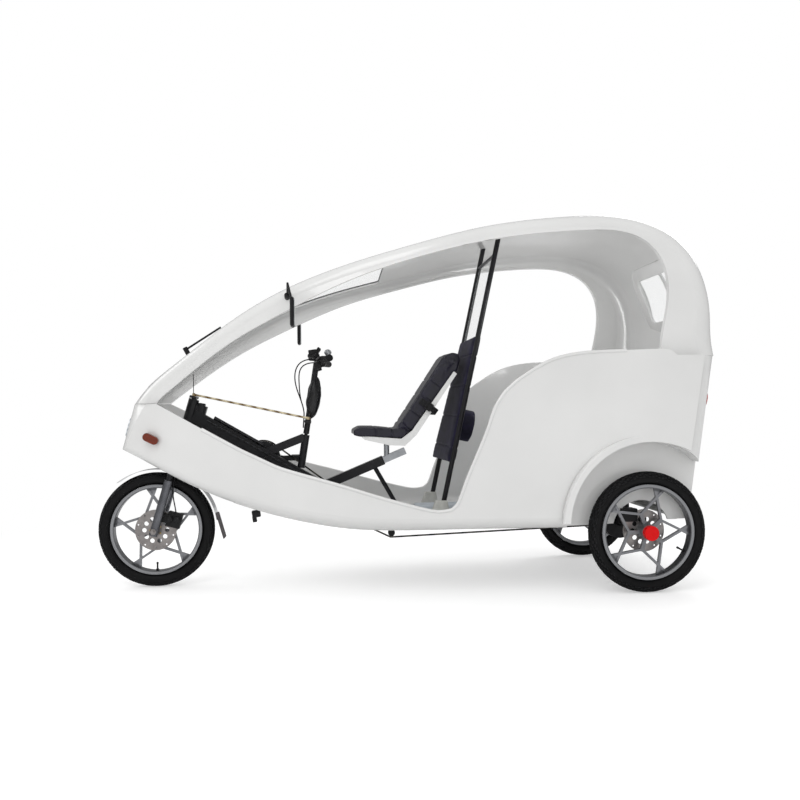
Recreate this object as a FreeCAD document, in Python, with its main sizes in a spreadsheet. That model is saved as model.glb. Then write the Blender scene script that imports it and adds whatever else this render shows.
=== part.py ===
import FreeCAD, Part
import math
import os

os.makedirs("parts", exist_ok=True)

V = FreeCAD.Vector
ROTATION = FreeCAD.Rotation
AXIS_X = V(1, 0, 0)
AXIS_Y = V(0, 1, 0)
AXIS_Z = V(0, 0, 1)

# Cycle rickshaw: a three-wheeled pedal cab. +X is forward, +Y is the left side, +Z is up, and the
# origin lies on the ground below the middle of the overall length. All sizes are in millimetres.
doc = FreeCAD.newDocument("cycle_rickshaw")

# ---------------------------------------------------------------------------------------------
# Driving sizes: alias, value, meaning
# ---------------------------------------------------------------------------------------------
SIZES = [
    ("overall_length", 3002.5, "front of the front tyre to the back of the hood"),
    ("wheelbase", 2329.0, "front axle to rear axle"),
    ("rear_track", 912.0, "between the middles of the rear tyres"),
    ("tyre_radius", 282.5, "17 inch light motorcycle tyre"),
    ("tyre_width", 64.0, "tyre section width"),
    ("rim_radius", 222.0, "outer edge of the rim's lip"),
    ("rim_width", 46.0, "over the lips"),
    ("rim_depth", 17.0, "radial depth of the rim's cast ring"),
    ("hub_radius", 38.0, "cast hub"),
    ("front_hub_width", 62.0, "along the axle"),
    ("rear_hub_width", 70.0, "along the axle"),
    ("spoke_count", 5.0, "pairs of spoke arms"),
    ("spoke_thickness", 16.0, "along the axle"),
    ("spoke_breadth", 11.0, "width of one arm in the wheel's plane"),
    ("star_valley", 86.0, "where neighbouring arms meet, from the wheel's middle"),
    ("boss_half", 22.0, "half the distance between a pair's feet at the rim"),
    ("web_thickness", 6.0, "thin web that fills the foot of each pair"),
    ("disc_radius", 100.0, "brake disc"),
    ("disc_thickness", 4.0, "brake disc"),
    ("disc_window_radius", 11.0, "round windows in the disc"),
    ("hub_cap_radius", 34.0, "rear hub caps"),
    ("axle_radius", 7.5, "front axle between its nuts"),
    ("axle_end_radius", 6.0, "free threaded ends of the front axle"),
    ("axle_end_length", 12.0, "free threaded ends of the front axle, each"),
    ("axle_nut_height", 10.0, "front axle nuts"),
    ("bearing_clearance", 0.06, "radial running clearance"),
    ("soft_gap", 0.3, "between curved or soft pieces and what they lie on"),
    ("rake", 16.0, "steering axis, degrees from upright"),
    ("fork_leg_radius", 21.0, "lower fork legs"),
    ("stanchion_radius", 14.0, "upper fork tubes"),
    ("fork_half_spacing", 68.0, "fork leg axis to the wheel's middle plane"),
    ("leg_top", 255.0, "top of the lower legs, along the steering axis from the axle"),
    ("crown_height", 352.0, "middle of the fork crown, along the steering axis"),
    ("crown_thickness", 32.0, "fork crown"),
    ("steerer_radius", 14.0, "steerer tube"),
    ("head_tube_radius", 26.0, "head tube"),
    ("head_tube_length", 295.0, "head tube"),
    ("arm_length", 45.0, "steering arms, axis to ball joint"),
    ("mudguard_gap", 15.0, "tyre to front mudguard"),
    ("mudguard_width", 84.0, "front mudguard"),
    ("sheet_thickness", 2.0, "pressed metal"),
    ("shell_wall", 12.0, "moulded body wall"),
    ("hood_wall", 14.0, "moulded hood wall"),
    ("hood_lip", 26.0, "thickness of the hood's open edge"),
    ("screen_thickness", 4.0, "clear windscreen"),
    ("body_half_width", 508.0, "outside of the body over the rear wheels, from the middle plane"),
    ("nose_reach", 99.0, "nose ahead of the front axle, at the seam"),
    ("nose_slope", 0.27, "how far the nose comes forward per unit of height below the seam"),
    ("nose_radius", 200.0, "nose in plan"),
    ("tail_step", 6.0, "tail of the body ahead of the hood's tail, at the seam"),
    ("tail_slope", 0.15, "how far the tail tucks in per unit of height below the seam"),
    ("floor_height", 312.0, "underside of the body along the floor"),
    ("nose_seam", 905.0, "height of the joint between body and hood at the nose"),
    ("rear_seam", 1104.0, "height of the joint between body and hood at the back"),
    ("arch_radius", 385.0, "rear wheel opening"),
    ("flare_radius", 418.0, "outer edge of the raised band round the wheel opening"),
    ("flare_height", 14.0, "how far the band stands out"),
    ("flare_round", 9.0, "rounded outer edge of the band"),
    ("arch_lift", 38.0, "middle of the wheel opening above the axle"),
    ("well_half_width", 392.0, "outside of the inner wheel well wall, from the middle plane"),
    ("beam_width", 45.0, "main beam"),
    ("beam_depth", 62.0, "main beam"),
    ("crank_length", 170.0, "pedal cranks"),
    ("chainring_radius", 88.0, "chainring"),
    ("sprocket_radius", 36.0, "rear sprocket"),
    ("pulley_radius", 18.0, "guide pulleys under the floor"),
    ("chain_side", 44.0, "chain, from the middle plane to the right"),
    ("chain_depth", 8.0, "chain, seen from the side"),
    ("chain_width", 7.0, "chain, along its pins"),
    ("chain_room", 6.0, "free space left round the chain in the body"),
    ("pedal_length", 96.0, "pedal body, across the vehicle"),
    ("post_radius", 12.5, "partition posts"),
    ("post_half_spacing", 195.0, "partition posts, from the middle plane"),
    ("column_tilt", 8.7, "handlebar column, degrees from upright"),
    ("column_radius", 15.0, "handlebar column"),
    ("cable_radius", 3.0, "brake and throttle cables"),
    ("bar_radius", 11.0, "handlebar"),
    ("grip_radius", 16.5, "handlebar grip"),
    ("bar_half_width", 285.0, "handlebar, middle to end"),
    ("pad_radius", 86.0, "round rest pad on the partition"),
    ("pad_thickness", 88.0, "round rest pad on the partition"),
    ("seat_width", 300.0, "driver's seat"),
    ("bench_width", 730.0, "passenger bench"),
]

sheet = doc.addObject("Spreadsheet::Sheet", "Sizes")
for row, (alias, value, meaning) in enumerate(SIZES, start=1):
    sheet.set("A%d" % row, meaning)
    sheet.set("B%d" % row, str(value))
    sheet.setAlias("B%d" % row, alias)
doc.recompute()


def size(name):
    """The value of a driving size, read from the sheet."""
    return float(sheet.get(name))


NODES = []


def node(label, obj):
    """Make obj a sub-part: it is exported under its label."""
    obj.Label = label
    NODES.append(obj)
    return obj


# ---------------------------------------------------------------------------------------------
# Datums
# ---------------------------------------------------------------------------------------------
FRONT_X = size("overall_length") / 2 - size("tyre_radius")
REAR_X = FRONT_X - size("wheelbase")
AXLE_Z = size("tyre_radius")
TAIL_AFT = REAR_X + size("overall_length") / 2


def front(aft, height, side=0.0):
    """A point given by its distance behind the front axle, its height and its side."""
    return V(FRONT_X - aft, side, height)


def rear(aft, height, side=0.0):
    """A point given by its distance behind the rear axle (ahead is negative), height and side."""
    return V(REAR_X - aft, side, height)


# ---------------------------------------------------------------------------------------------
# Small makers
# ---------------------------------------------------------------------------------------------
def primitive(kind, name, **expressions):
    """A Part primitive whose sizes are bound to expressions."""
    obj = doc.addObject("Part::" + kind, name)
    for key, expression in expressions.items():
        obj.setExpression(key, expression)
    return obj


def place(obj, base, rotation=None):
    obj.Placement = FreeCAD.Placement(base, rotation or ROTATION())
    return obj


def rod(name, start, end, radius):
    """A round bar between two points; radius is an expression."""
    run = end.sub(start)
    obj = primitive("Cylinder", name, Radius=radius)
    obj.Height = run.Length
    return place(obj, start, ROTATION(AXIS_Z, run))


def bar(name, start, end, width, depth):
    """A rectangular bar between two points; width lies along Y, width and depth are expressions."""
    run = end.sub(start)
    obj = primitive("Box", name, Length=depth, Width=width)
    obj.Height = run.Length
    doc.recompute()
    turn = ROTATION(AXIS_Y, math.degrees(math.atan2(run.x, run.z)))
    shift = turn.multVec(V(-obj.Length.Value / 2, -obj.Width.Value / 2, 0))
    return place(obj, start.add(shift), turn)


def block(name, low, high):
    """A box between two corners."""
    obj = doc.addObject("Part::Box", name)
    obj.Length = high.x - low.x
    obj.Width = high.y - low.y
    obj.Height = high.z - low.z
    return place(obj, low)


def cross_rod(name, centre, half_length, radius):
    """A round bar along Y; radius is an expression."""
    start = centre.sub(V(0, half_length, 0))
    return rod(name, start, centre.add(V(0, half_length, 0)), radius)


def fuse(name, parts):
    obj = doc.addObject("Part::MultiFuse", name)
    obj.Shapes = parts
    return obj


def cut(name, base, tool):
    obj = doc.addObject("Part::Cut", name)
    obj.Base = base
    obj.Tool = tool
    return obj


def rounded(name, base, radius, edge_test):
    """Fillet the edges that edge_test picks."""
    doc.recompute()
    edges = [(i, radius, radius) for i, edge in enumerate(base.Shape.Edges, start=1) if edge_test(edge)]
    obj = doc.addObject("Part::Fillet", name)
    obj.Base = base
    obj.Edges = edges
    return obj


def polygon_face(points):
    return Part.Face(Part.makePolygon(points + points[:1]))


def side_prism(points, half_width):
    """A solid from a closed outline of points in the XZ plane, thick along Y."""
    face = polygon_face([V(p.x, -half_width, p.z) for p in points])
    return face.extrude(V(0, 2 * half_width, 0))


def cable(points, radius):
    """A round cable along a smooth curve through the points."""
    curve = Part.BSplineCurve()
    curve.interpolate(points)
    heading = curve.tangent(curve.FirstParameter)[0]
    end_ring = Part.Wire(Part.makeCircle(radius, points[0], heading))
    return Part.Wire(curve.toShape()).makePipeShell([end_ring], True, False)


def feature(label, shape):
    obj = doc.addObject("Part::Feature", label)
    obj.Shape = shape
    return node(label, obj)


# ---------------------------------------------------------------------------------------------
# Lower body: cross sections lofted along the vehicle, then trimmed at the nose and the tail
# ---------------------------------------------------------------------------------------------
# Columns: datum, distance aft of it, underside height, half width at the rim, rim height,
# lean of the side (sideways per unit of height), radius of the lower corner.
BODY_SECTIONS = [
    (front, -210.0, 712.0, 118.0, 905.0, 0.10, 40.0),
    (front, 30.0, 590.0, 182.0, 902.0, 0.12, 48.0),
    (front, 290.0, 470.0, 272.0, 768.0, 0.12, 60.0),
    (front, 640.0, 362.0, 355.0, 594.0, 0.11, 70.0),
    (front, 960.0, 312.0, 425.0, 500.0, 0.08, 70.0),
    (rear, -1000.0, 312.0, 490.0, 400.0, 0.04, 60.0),
    (rear, -700.0, 312.0, 505.0, 900.0, 0.02, 55.0),
    (rear, -200.0, 312.0, size("body_half_width"), 1120.0, 0.015, 50.0),
    (rear, 420.0, 312.0, size("body_half_width"), 1120.0, 0.015, 50.0),
]
LOFT_TOP = 1250.0

# The open rim, from the nose seam back to the tail: datum, aft, height.
RIM = [
    (front, -400.0, 905.0), (front, -50.0, 905.0), (front, 36.0, 903.0), (front, 149.0, 843.0),
    (front, 284.0, 770.0), (front, 444.0, 685.0), (front, 627.0, 600.0), (front, 889.0, 527.0),
    (front, 1115.0, 458.0), (rear, -1000.0, 402.0), (rear, -930.0, 411.0), (rear, -895.0, 440.0),
    (rear, -868.0, 525.0), (rear, -818.0, 640.0), (rear, -764.0, 765.0), (rear, -728.0, 875.0),
    (rear, -680.0, 945.0), (rear, -624.0, 995.0), (rear, -530.0, 1056.0), (rear, -450.0, 1095.0),
    (rear, -360.0, 1118.0), (rear, -250.0, 1126.0), (rear, 48.0, 1134.0), (rear, 90.0, 1128.0),
    (rear, 116.0, 1104.0), (rear, 800.0, 1104.0),
]


def body_section(x, bottom, half_rim, rim_height, lean, corner, inset):
    """One closed cross section: flat bottom, rounded lower corners, leaning sides, flat top."""
    low = bottom + inset
    radius = max(corner - inset, 6.0)
    half_low = half_rim - (rim_height - bottom) * lean - inset
    half_top = half_rim + (LOFT_TOP - rim_height) * lean - inset
    angle = math.atan(lean)
    # Centre of the corner arc: radius inside both the bottom and the leaning side.
    cz = low + radius
    side_at_cz = half_low + (cz - bottom) * lean
    cy = side_at_cz - radius / math.cos(angle)
    touch = V(x, cy + radius * math.cos(angle), cz - radius * math.sin(angle))
    middle_angle = math.radians(-45.0) - angle / 2
    middle = V(x, cy + radius * math.cos(middle_angle), cz + radius * math.sin(middle_angle))
    base = V(x, cy, low)
    top = V(x, half_top, LOFT_TOP)

    def mirrored(p):
        return V(p.x, -p.y, p.z)

    edges = [
        Part.LineSegment(mirrored(base), base).toShape(),
        Part.Arc(base, middle, touch).toShape(),
        Part.LineSegment(touch, top).toShape(),
        Part.LineSegment(top, mirrored(top)).toShape(),
        Part.LineSegment(mirrored(top), mirrored(touch)).toShape(),
        Part.Arc(mirrored(touch), mirrored(middle), mirrored(base)).toShape(),
    ]
    return Part.Wire(edges)


def body_loft(inset):
    wires = []
    for datum, aft, bottom, half_rim, rim_height, lean, corner in BODY_SECTIONS:
        x = datum(aft, 0.0).x
        wires.append(body_section(x, bottom, half_rim, rim_height, lean, corner, inset))
    return Part.makeLoft(wires, True, False)


def body_trim(inset, low, high):
    """The nose and the tail in plan: a rounded nose and a gently bulged back with round corners."""
    wires = []
    for z in (low, high):
        nose = FRONT_X + size("nose_reach") + (size("nose_seam") - z) * size("nose_slope") - inset
        tail = (REAR_X - TAIL_AFT + size("tail_step") + (size("rear_seam") - z) * size("tail_slope")
                + inset)
        nose_radius = size("nose_radius") - inset
        half_nose = 168.0
        sagitta = nose_radius - math.sqrt(nose_radius ** 2 - half_nose ** 2)
        flank = 600.0
        slope = half_nose / math.sqrt(nose_radius ** 2 - half_nose ** 2)
        flank_x = nose - sagitta - (flank - half_nose) * slope
        half_back = size("body_half_width") - inset
        corner = 100.0 - inset
        bulge = 2200.0
        # The back's arc meets each round corner tangentially.
        cy = half_back - corner
        cx_offset = bulge - math.sqrt((bulge - corner) ** 2 - cy ** 2)
        corner_centre = V(tail + cx_offset, cy, z)
        away = V(corner_centre.x - (tail + bulge), corner_centre.y, 0)
        away.normalize()
        touch = corner_centre.add(V(away.x * corner, away.y * corner, 0))
        half_angle = (math.atan2(away.y, away.x) + math.radians(90.0)) / 2
        middle = corner_centre.add(V(corner * math.cos(half_angle), corner * math.sin(half_angle), 0))
        side = corner_centre.add(V(0, corner, 0))
        wide = V(side.x, flank + 20.0, z)

        def mirrored(p):
            return V(p.x, -p.y, p.z)

        nose_side = V(nose - sagitta, half_nose, z)
        flank_point = V(flank_x, flank + 20.0, z)
        edges = [
            Part.Arc(mirrored(nose_side), V(nose, 0, z), nose_side).toShape(),
            Part.LineSegment(nose_side, flank_point).toShape(),
            Part.LineSegment(flank_point, wide).toShape(),
            Part.LineSegment(wide, side).toShape(),
            Part.Arc(side, middle, touch).toShape(),
            Part.Arc(touch, V(tail, 0, z), mirrored(touch)).toShape(),
            Part.Arc(mirrored(touch), mirrored(middle), mirrored(side)).toShape(),
            Part.LineSegment(mirrored(side), mirrored(wide)).toShape(),
            Part.LineSegment(mirrored(wide), mirrored(flank_point)).toShape(),
            Part.LineSegment(mirrored(flank_point), mirrored(nose_side)).toShape(),
        ]
        wires.append(Part.Wire(edges))
    return Part.makeLoft(wires, True, True)


def rim_prism():
    """Everything below the open rim."""
    rim = [datum(aft, height) for datum, aft, height in RIM]
    bottom = [V(rim[-1].x, 0, 100.0), V(rim[0].x, 0, 100.0)]
    return side_prism(rim + bottom, 700.0)


def y_cylinder(x, z, radius, low, high):
    return Part.makeCylinder(radius, high - low, V(x, low, z), AXIS_Y)


def lower_body():
    wall = size("shell_wall")
    outer = body_loft(0.0).common(body_trim(0.0, 250.0, 1260.0)).common(rim_prism())
    inner = body_loft(wall).common(body_trim(wall, 240.0, 1270.0))
    arch = size("arch_radius")
    well = size("well_half_width")
    half_body = size("body_half_width")
    arch_z = AXLE_Z + size("arch_lift")
    flares = []
    houses = []
    cavities = []
    for sign in (1, -1):
        low, high = sorted((sign * (half_body - wall), sign * (half_body + size("flare_height"))))
        flare = y_cylinder(REAR_X, arch_z, size("flare_radius"), low, high)
        outer_edges = [e for e in flare.Edges if e.Closed and abs(e.CenterOfMass.y) > half_body]
        flares.append(flare.makeFillet(size("flare_round"), outer_edges))
        low, high = sorted((sign * (well - wall), sign * half_body))
        houses.append(y_cylinder(REAR_X, arch_z, arch + wall, low, high))
        low, high = sorted((sign * well, sign * 640.0))
        cavity = y_cylinder(REAR_X, arch_z, arch, low, high)
        behind = Part.makeBox(600.0, high - low, 305.0 + 300.0, V(REAR_X - 600.0, low, 0.0))
        cavities.append(cavity)
        cavities.append(behind)
    tail_plane = body_trim(0.0, 250.0, 1260.0)
    ground = Part.makeBox(4000.0, 1400.0, 1000.0, V(-2000.0, -700.0, size("floor_height") + 24.0))
    flared = [item.common(tail_plane).common(ground) for item in flares]
    shell = outer.fuse(flared)
    shell = shell.cut(inner.cut(Part.makeCompound(houses)))
    shell = shell.cut(Part.makeCompound(cavities[0::2])).cut(Part.makeCompound(cavities[1::2]))
    # Room for the rear axle and the front wheel, both open underneath.
    tunnel = y_cylinder(REAR_X, AXLE_Z, 140.0, -640.0, 640.0)
    throat_cut = Part.makeBox(490.0, 1200.0, 500.0, V(FRONT_X - 400.0, -600.0, 200.0))
    narrowed = body_trim(wall, 240.0, 1270.0).common(body_loft_open(wall)).common(throat_cut)
    level_floor = Part.makeBox(1530.0, 760.0, 40.0,
                               V(REAR_X - 190.0, -380.0, size("floor_height") + wall))
    chain_slot = chain_band(size("chain_depth") / 2 + size("chain_room"),
                            size("chain_width") / 2 + size("chain_room"))
    shell = shell.cut(tunnel).cut(narrowed).cut(level_floor).cut(chain_slot)
    solids = sorted(shell.Solids, key=lambda s: s.Volume)
    return solids[-1]


def body_loft_open(inset):
    """The inside of the body carried on down through its floor."""
    wires = []
    for datum, aft, bottom, half_rim, rim_height, lean, corner in BODY_SECTIONS:
        x = datum(aft, 0.0).x
        half_low = half_rim - (rim_height - bottom) * lean - inset - corner * 0.3
        points = [V(x, -half_low, 150.0), V(x, half_low, 150.0), V(x, half_low, LOFT_TOP),
                  V(x, -half_low, LOFT_TOP)]
        wires.append(Part.makePolygon(points + points[:1]))
    return Part.makeLoft(wires, True, False)


# ---------------------------------------------------------------------------------------------
# Chain line: a closed belt path round the chainring, two guide pulleys and the rear sprocket
# ---------------------------------------------------------------------------------------------
BRACKET = front(520.0, 620.0)
LOW_PULLEY = front(1172.0, 227.0)
HIGH_PULLEY = front(1172.0, 277.0)
CHAIN_SEAT = size("chain_depth") / 2 + 0.5
CHAIN_WHEELS = [
    (BRACKET, size("chainring_radius"), 1),
    (LOW_PULLEY, size("pulley_radius"), 1),
    (rear(0.0, AXLE_Z), size("sprocket_radius"), 1),
    (HIGH_PULLEY, size("pulley_radius"), -1),
]


def belt_wire(offset, side):
    """The belt path moved outwards by offset, in the plane at side. A wheel whose turn is -1
    bends the belt the other way."""
    wheels = [(-c.x, c.z, turn * (radius + CHAIN_SEAT) + offset) for c, radius, turn in CHAIN_WHEELS]
    lines = []
    for first, second in zip(wheels, wheels[1:] + wheels[:1]):
        run_u, run_v = second[0] - first[0], second[1] - first[1]
        heading = math.atan2(run_v, run_u) - math.asin((second[2] - first[2]) / math.hypot(run_u, run_v))
        left_u, left_v = -math.sin(heading), math.cos(heading)
        lines.append([(u - left_u * signed, v - left_v * signed) for u, v, signed in (first, second)])

    def point(pair):
        return V(-pair[0], side, pair[1])

    edges = []
    for k, (u, v, signed) in enumerate(wheels):
        arrive, leave = lines[k - 1][1], lines[k][0]
        start = math.atan2(arrive[1] - v, arrive[0] - u)
        sweep = math.atan2(leave[1] - v, leave[0] - u) - start
        turn = 1 if signed > 0 else -1
        sweep = turn * ((turn * sweep) % (2 * math.pi))
        middle = (u + abs(signed) * math.cos(start + sweep / 2), v + abs(signed) * math.sin(start + sweep / 2))
        edges.append(Part.Arc(point(arrive), point(middle), point(leave)).toShape())
        edges.append(Part.LineSegment(point(leave), point(lines[k][1])).toShape())
    return Part.Wire(edges)


def chain_band(half_depth, half_width):
    """A band along the belt path."""
    side = -size("chain_side") - half_width
    outside = Part.Face(belt_wire(half_depth, side)).extrude(V(0, 2 * half_width, 0))
    inside = Part.Face(belt_wire(-half_depth, side)).extrude(V(0, 2 * half_width, 0))
    return outside.cut(inside)


feature("lower_body", lower_body())
feature("chain", chain_band(size("chain_depth") / 2, size("chain_width") / 2))

# ---------------------------------------------------------------------------------------------
# Hood: an arched band swept from the nose over the roof and down the back
# ---------------------------------------------------------------------------------------------
# Columns: crown point (datum, aft, height), edge point (datum, aft, height), half width at the
# shoulder, half width at the edge, crown radius, shoulder radius.
NOSE_SEAM = size("nose_seam") + size("soft_gap")
REAR_SEAM = size("rear_seam") + size("soft_gap")
HOOD_SECTIONS = [
    ((front, 5.0 - size("nose_reach"), NOSE_SEAM), (front, 40.0, NOSE_SEAM), 176.0, 184.0, 300.0, 60.0),
    ((front, 64.0, 1064.0), (front, 150.0, 1000.0), 236.0, 246.0, 900.0, 50.0),
    ((front, 231.0, 1188.0), (front, 300.0, 1114.0), 286.0, 296.0, 1500.0, 50.0),
    ((front, 390.0, 1304.0), (front, 446.0, 1208.0), 336.0, 346.0, 1900.0, 52.0),
    ((front, 590.0, 1422.0), (front, 645.0, 1313.0), 384.0, 392.0, 2400.0, 55.0),
    ((front, 905.0, 1546.0), (front, 941.0, 1450.0), 452.0, 462.0, 3600.0, 58.0),
    ((rear, -1077.0, 1642.0), (rear, -1052.0, 1557.0), 512.0, 520.0, 5200.0, 56.0),
    ((rear, -780.0, 1722.0), (rear, -761.0, 1628.0), 516.0, 522.0, 4600.0, 58.0),
    ((rear, -361.0, 1780.0), (rear, -357.0, 1677.0), 512.0, 520.0, 4200.0, 62.0),
    ((rear, -84.0, 1778.0), (rear, -101.0, 1670.0), 510.0, 520.0, 4000.0, 64.0),
    ((rear, 140.0, 1712.0), (rear, 31.0, 1605.0), 505.0, 504.0, 3200.0, 78.0),
    ((rear, TAIL_AFT - 79.0, 1536.0), (rear, 101.0, 1480.0), 500.0, 490.0, 2600.0, 90.0),
    ((rear, TAIL_AFT - 18.0, 1330.0), (rear, 104.0, 1338.0), 500.0, 484.0, 2300.0, 98.0),
    ((rear, TAIL_AFT, REAR_SEAM), (rear, 60.0, REAR_SEAM), 506.0, 500.0, 2200.0, 100.0),
]


def hood_section(crown, edge, shoulder, foot, crown_radius, shoulder_radius, inset, wall, lip):
    """One closed arch: crown arc, shoulder arcs and legs outside, the same again inside."""
    inward = edge.sub(crown)
    depth = inward.Length
    inward.normalize()

    def point(side, along):
        return crown.add(V(inward.x * along, side, inward.z * along))

    centre_depth = crown_radius - math.sqrt(
        (crown_radius - shoulder_radius) ** 2 - (shoulder - shoulder_radius) ** 2)
    centre_side = shoulder - shoulder_radius

    def arch(offset, foot_half):
        big = crown_radius - offset
        small = shoulder_radius - offset
        scale = big / (crown_radius - shoulder_radius)
        touch = (centre_side * scale, crown_radius + (centre_depth - crown_radius) * scale)
        turn = math.atan2(touch[0] - centre_side, centre_depth - touch[1])
        middle_turn = (turn + math.radians(90.0)) / 2
        middle = (centre_side + small * math.sin(middle_turn),
                  centre_depth - small * math.cos(middle_turn))
        side = (centre_side + small, centre_depth)
        return touch, middle, side, (foot_half, depth), offset

    def run(arch_points, sign):
        touch, middle, side, end, offset = arch_points
        return [point(sign * a, b) for a, b in (end, side, middle, touch)]

    outer = arch(inset, foot - inset)
    inner = arch(inset + wall, foot - inset - lip)
    edges = []

    def add_arch(arch_points, sign):
        end, side, middle, touch = run(arch_points, sign)
        far_end, far_side, far_middle, far_touch = run(arch_points, -sign)
        edges.append(Part.LineSegment(end, side).toShape())
        edges.append(Part.Arc(side, middle, touch).toShape())
        edges.append(Part.Arc(touch, point(0, arch_points[4]), far_touch).toShape())
        edges.append(Part.Arc(far_touch, far_middle, far_side).toShape())
        edges.append(Part.LineSegment(far_side, far_end).toShape())
        return end, far_end

    outer_start, outer_end = add_arch(outer, 1)
    inner_start, inner_end = run(inner, -1)[0], run(inner, 1)[0]
    edges.append(Part.LineSegment(outer_end, inner_start).toShape())
    add_arch(inner, -1)
    edges.append(Part.LineSegment(inner_end, outer_start).toShape())
    return Part.Wire(edges)


def hood_band(inset, wall, lip):
    wires = []
    for crown, edge, shoulder, foot, crown_radius, shoulder_radius in HOOD_SECTIONS:
        crown_point = crown[0](crown[1], crown[2])
        edge_point = edge[0](edge[1], edge[2])
        wires.append(hood_section(crown_point, edge_point, shoulder, foot, crown_radius,
                                  shoulder_radius, inset, wall, lip))
    return Part.makeLoft(wires, True, False)


def screen_outline(gap):
    """The windscreen in plan, standing gap inside its opening in the hood."""
    nose = front(-18.0 + gap, 800.0, 96.0 - gap)
    bend = front(420.0, 800.0, 262.0 - gap)
    back = front(1145.0 - gap, 800.0, 426.0 - gap)

    def mirrored(p):
        return V(p.x, -p.y, p.z)

    edges = [
        Part.Arc(nose, bend, back).toShape(),
        Part.LineSegment(back, mirrored(back)).toShape(),
        Part.Arc(mirrored(back), mirrored(bend), mirrored(nose)).toShape(),
        Part.LineSegment(mirrored(nose), nose).toShape(),
    ]
    return Part.Face(Part.Wire(edges)).extrude(V(0, 0, 1100.0))


WINDOW_HALF = 250.0
WINDOW_LOW = 1300.0
WINDOW_HIGH = 1590.0


def rear_window_prism(gap):
    low = V(-size("overall_length") / 2 - 60.0, -WINDOW_HALF + gap, WINDOW_LOW + gap)
    box = Part.makeBox(260.0, 2 * (WINDOW_HALF - gap), WINDOW_HIGH - WINDOW_LOW - 2 * gap, low)
    edges = [e for e in box.Edges if abs(e.tangentAt(e.FirstParameter).x) > 0.9]
    return box.makeFillet(45.0 - gap, edges)


def hood():
    band = hood_band(0.0, size("hood_wall"), size("hood_lip"))
    return band.cut(screen_outline(0.0)).cut(rear_window_prism(0.0))


def windscreen():
    sheet_band = hood_band(3.0, size("screen_thickness"), size("screen_thickness"))
    pieces = sheet_band.common(screen_outline(size("soft_gap"))).Solids
    return sorted(pieces, key=lambda s: s.Volume)[-1]


feature("hood", hood())
feature("windscreen", windscreen())

# ---------------------------------------------------------------------------------------------
# Wheels: tyre, cast star-spoked rim and brake disc
# ---------------------------------------------------------------------------------------------
def around(centre, radius, degrees, side=0.0):
    """A point on a circle in a plane square to the axle."""
    angle = math.radians(degrees)
    return centre.add(V(radius * math.cos(angle), side, radius * math.sin(angle)))


def ring(name, centre, half_width, outer, inner):
    """A ring about an axis along Y; outer and inner are expressions."""
    solid = cross_rod(name + "_outer", centre, half_width, outer)
    bore = cross_rod(name + "_inner", centre, half_width + 1.0, inner)
    return cut(name, solid, bore)


def tyre(label, centre):
    torus = primitive("Torus", label + "_torus", Radius1="Sizes.tyre_radius - Sizes.tyre_width / 2",
                      Radius2="Sizes.tyre_width / 2")
    place(torus, centre, ROTATION(AXIS_X, 90))
    seat = cross_rod(label + "_seat", centre, size("tyre_width"), "Sizes.rim_radius + Sizes.soft_gap")
    return node(label, cut(label + "_cut", torus, seat))


def crossing_radius(foot_radius, pitch):
    """How far from the wheel's middle the two arms of a pair cross."""
    half = math.radians(pitch / 2)
    valley_out = size("star_valley") * math.cos(half)
    valley_side = size("star_valley") * math.sin(half)
    share = size("boss_half") / (size("boss_half") + valley_side)
    return foot_radius + (valley_out - foot_radius) * share


def cast_wheel(label, centre, hub_width, bore, turn):
    """A rim ring, a hub and a five-pointed star of thin arms between them."""
    rim_ring = ring(label + "_ring", centre, size("rim_width") / 2, "Sizes.rim_radius",
                    "Sizes.rim_radius - Sizes.rim_depth")
    hub = cross_rod(label + "_hub", centre, hub_width / 2, "Sizes.hub_radius")
    pieces = [rim_ring, hub]
    count = int(size("spoke_count"))
    pitch = 360.0 / count
    inside_ring = size("rim_radius") - size("rim_depth")
    for k in range(count):
        tip_angle = turn + k * pitch
        boss = around(centre, inside_ring + 4.0, tip_angle)
        along = V(-math.sin(math.radians(tip_angle)), 0, math.cos(math.radians(tip_angle)))
        for sign in (-1, 1):
            foot = boss.add(along * (sign * size("boss_half")))
            valley = around(centre, size("star_valley"), tip_angle - sign * pitch / 2)
            name = "%s_arm_%d_%d" % (label, k, (sign + 1) // 2)
            pieces.append(bar(name, foot, valley, "Sizes.spoke_thickness", "Sizes.spoke_breadth"))
        half_web = size("web_thickness") / 2
        corners = [boss.add(along * size("boss_half")), boss.sub(along * size("boss_half")),
                   around(centre, crossing_radius(inside_ring + 4.0, pitch), tip_angle)]
        web = doc.addObject("Part::Feature", "%s_fill_%d" % (label, k))
        web.Shape = polygon_face([c.sub(V(0, half_web, 0)) for c in corners]).extrude(V(0, 2 * half_web, 0))
        pieces.append(web)
        start = around(centre, size("hub_radius") - 6.0, tip_angle + pitch / 2)
        end = around(centre, size("star_valley") + 6.0, tip_angle + pitch / 2)
        pieces.append(bar("%s_web_%d" % (label, k), start, end, "Sizes.spoke_thickness",
                          "Sizes.spoke_breadth * 1.5"))
    whole = fuse(label + "_whole", pieces)
    return node(label, cut(label + "_cut", whole,
                           cross_rod(label + "_bore", centre, hub_width, bore)))


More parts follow.
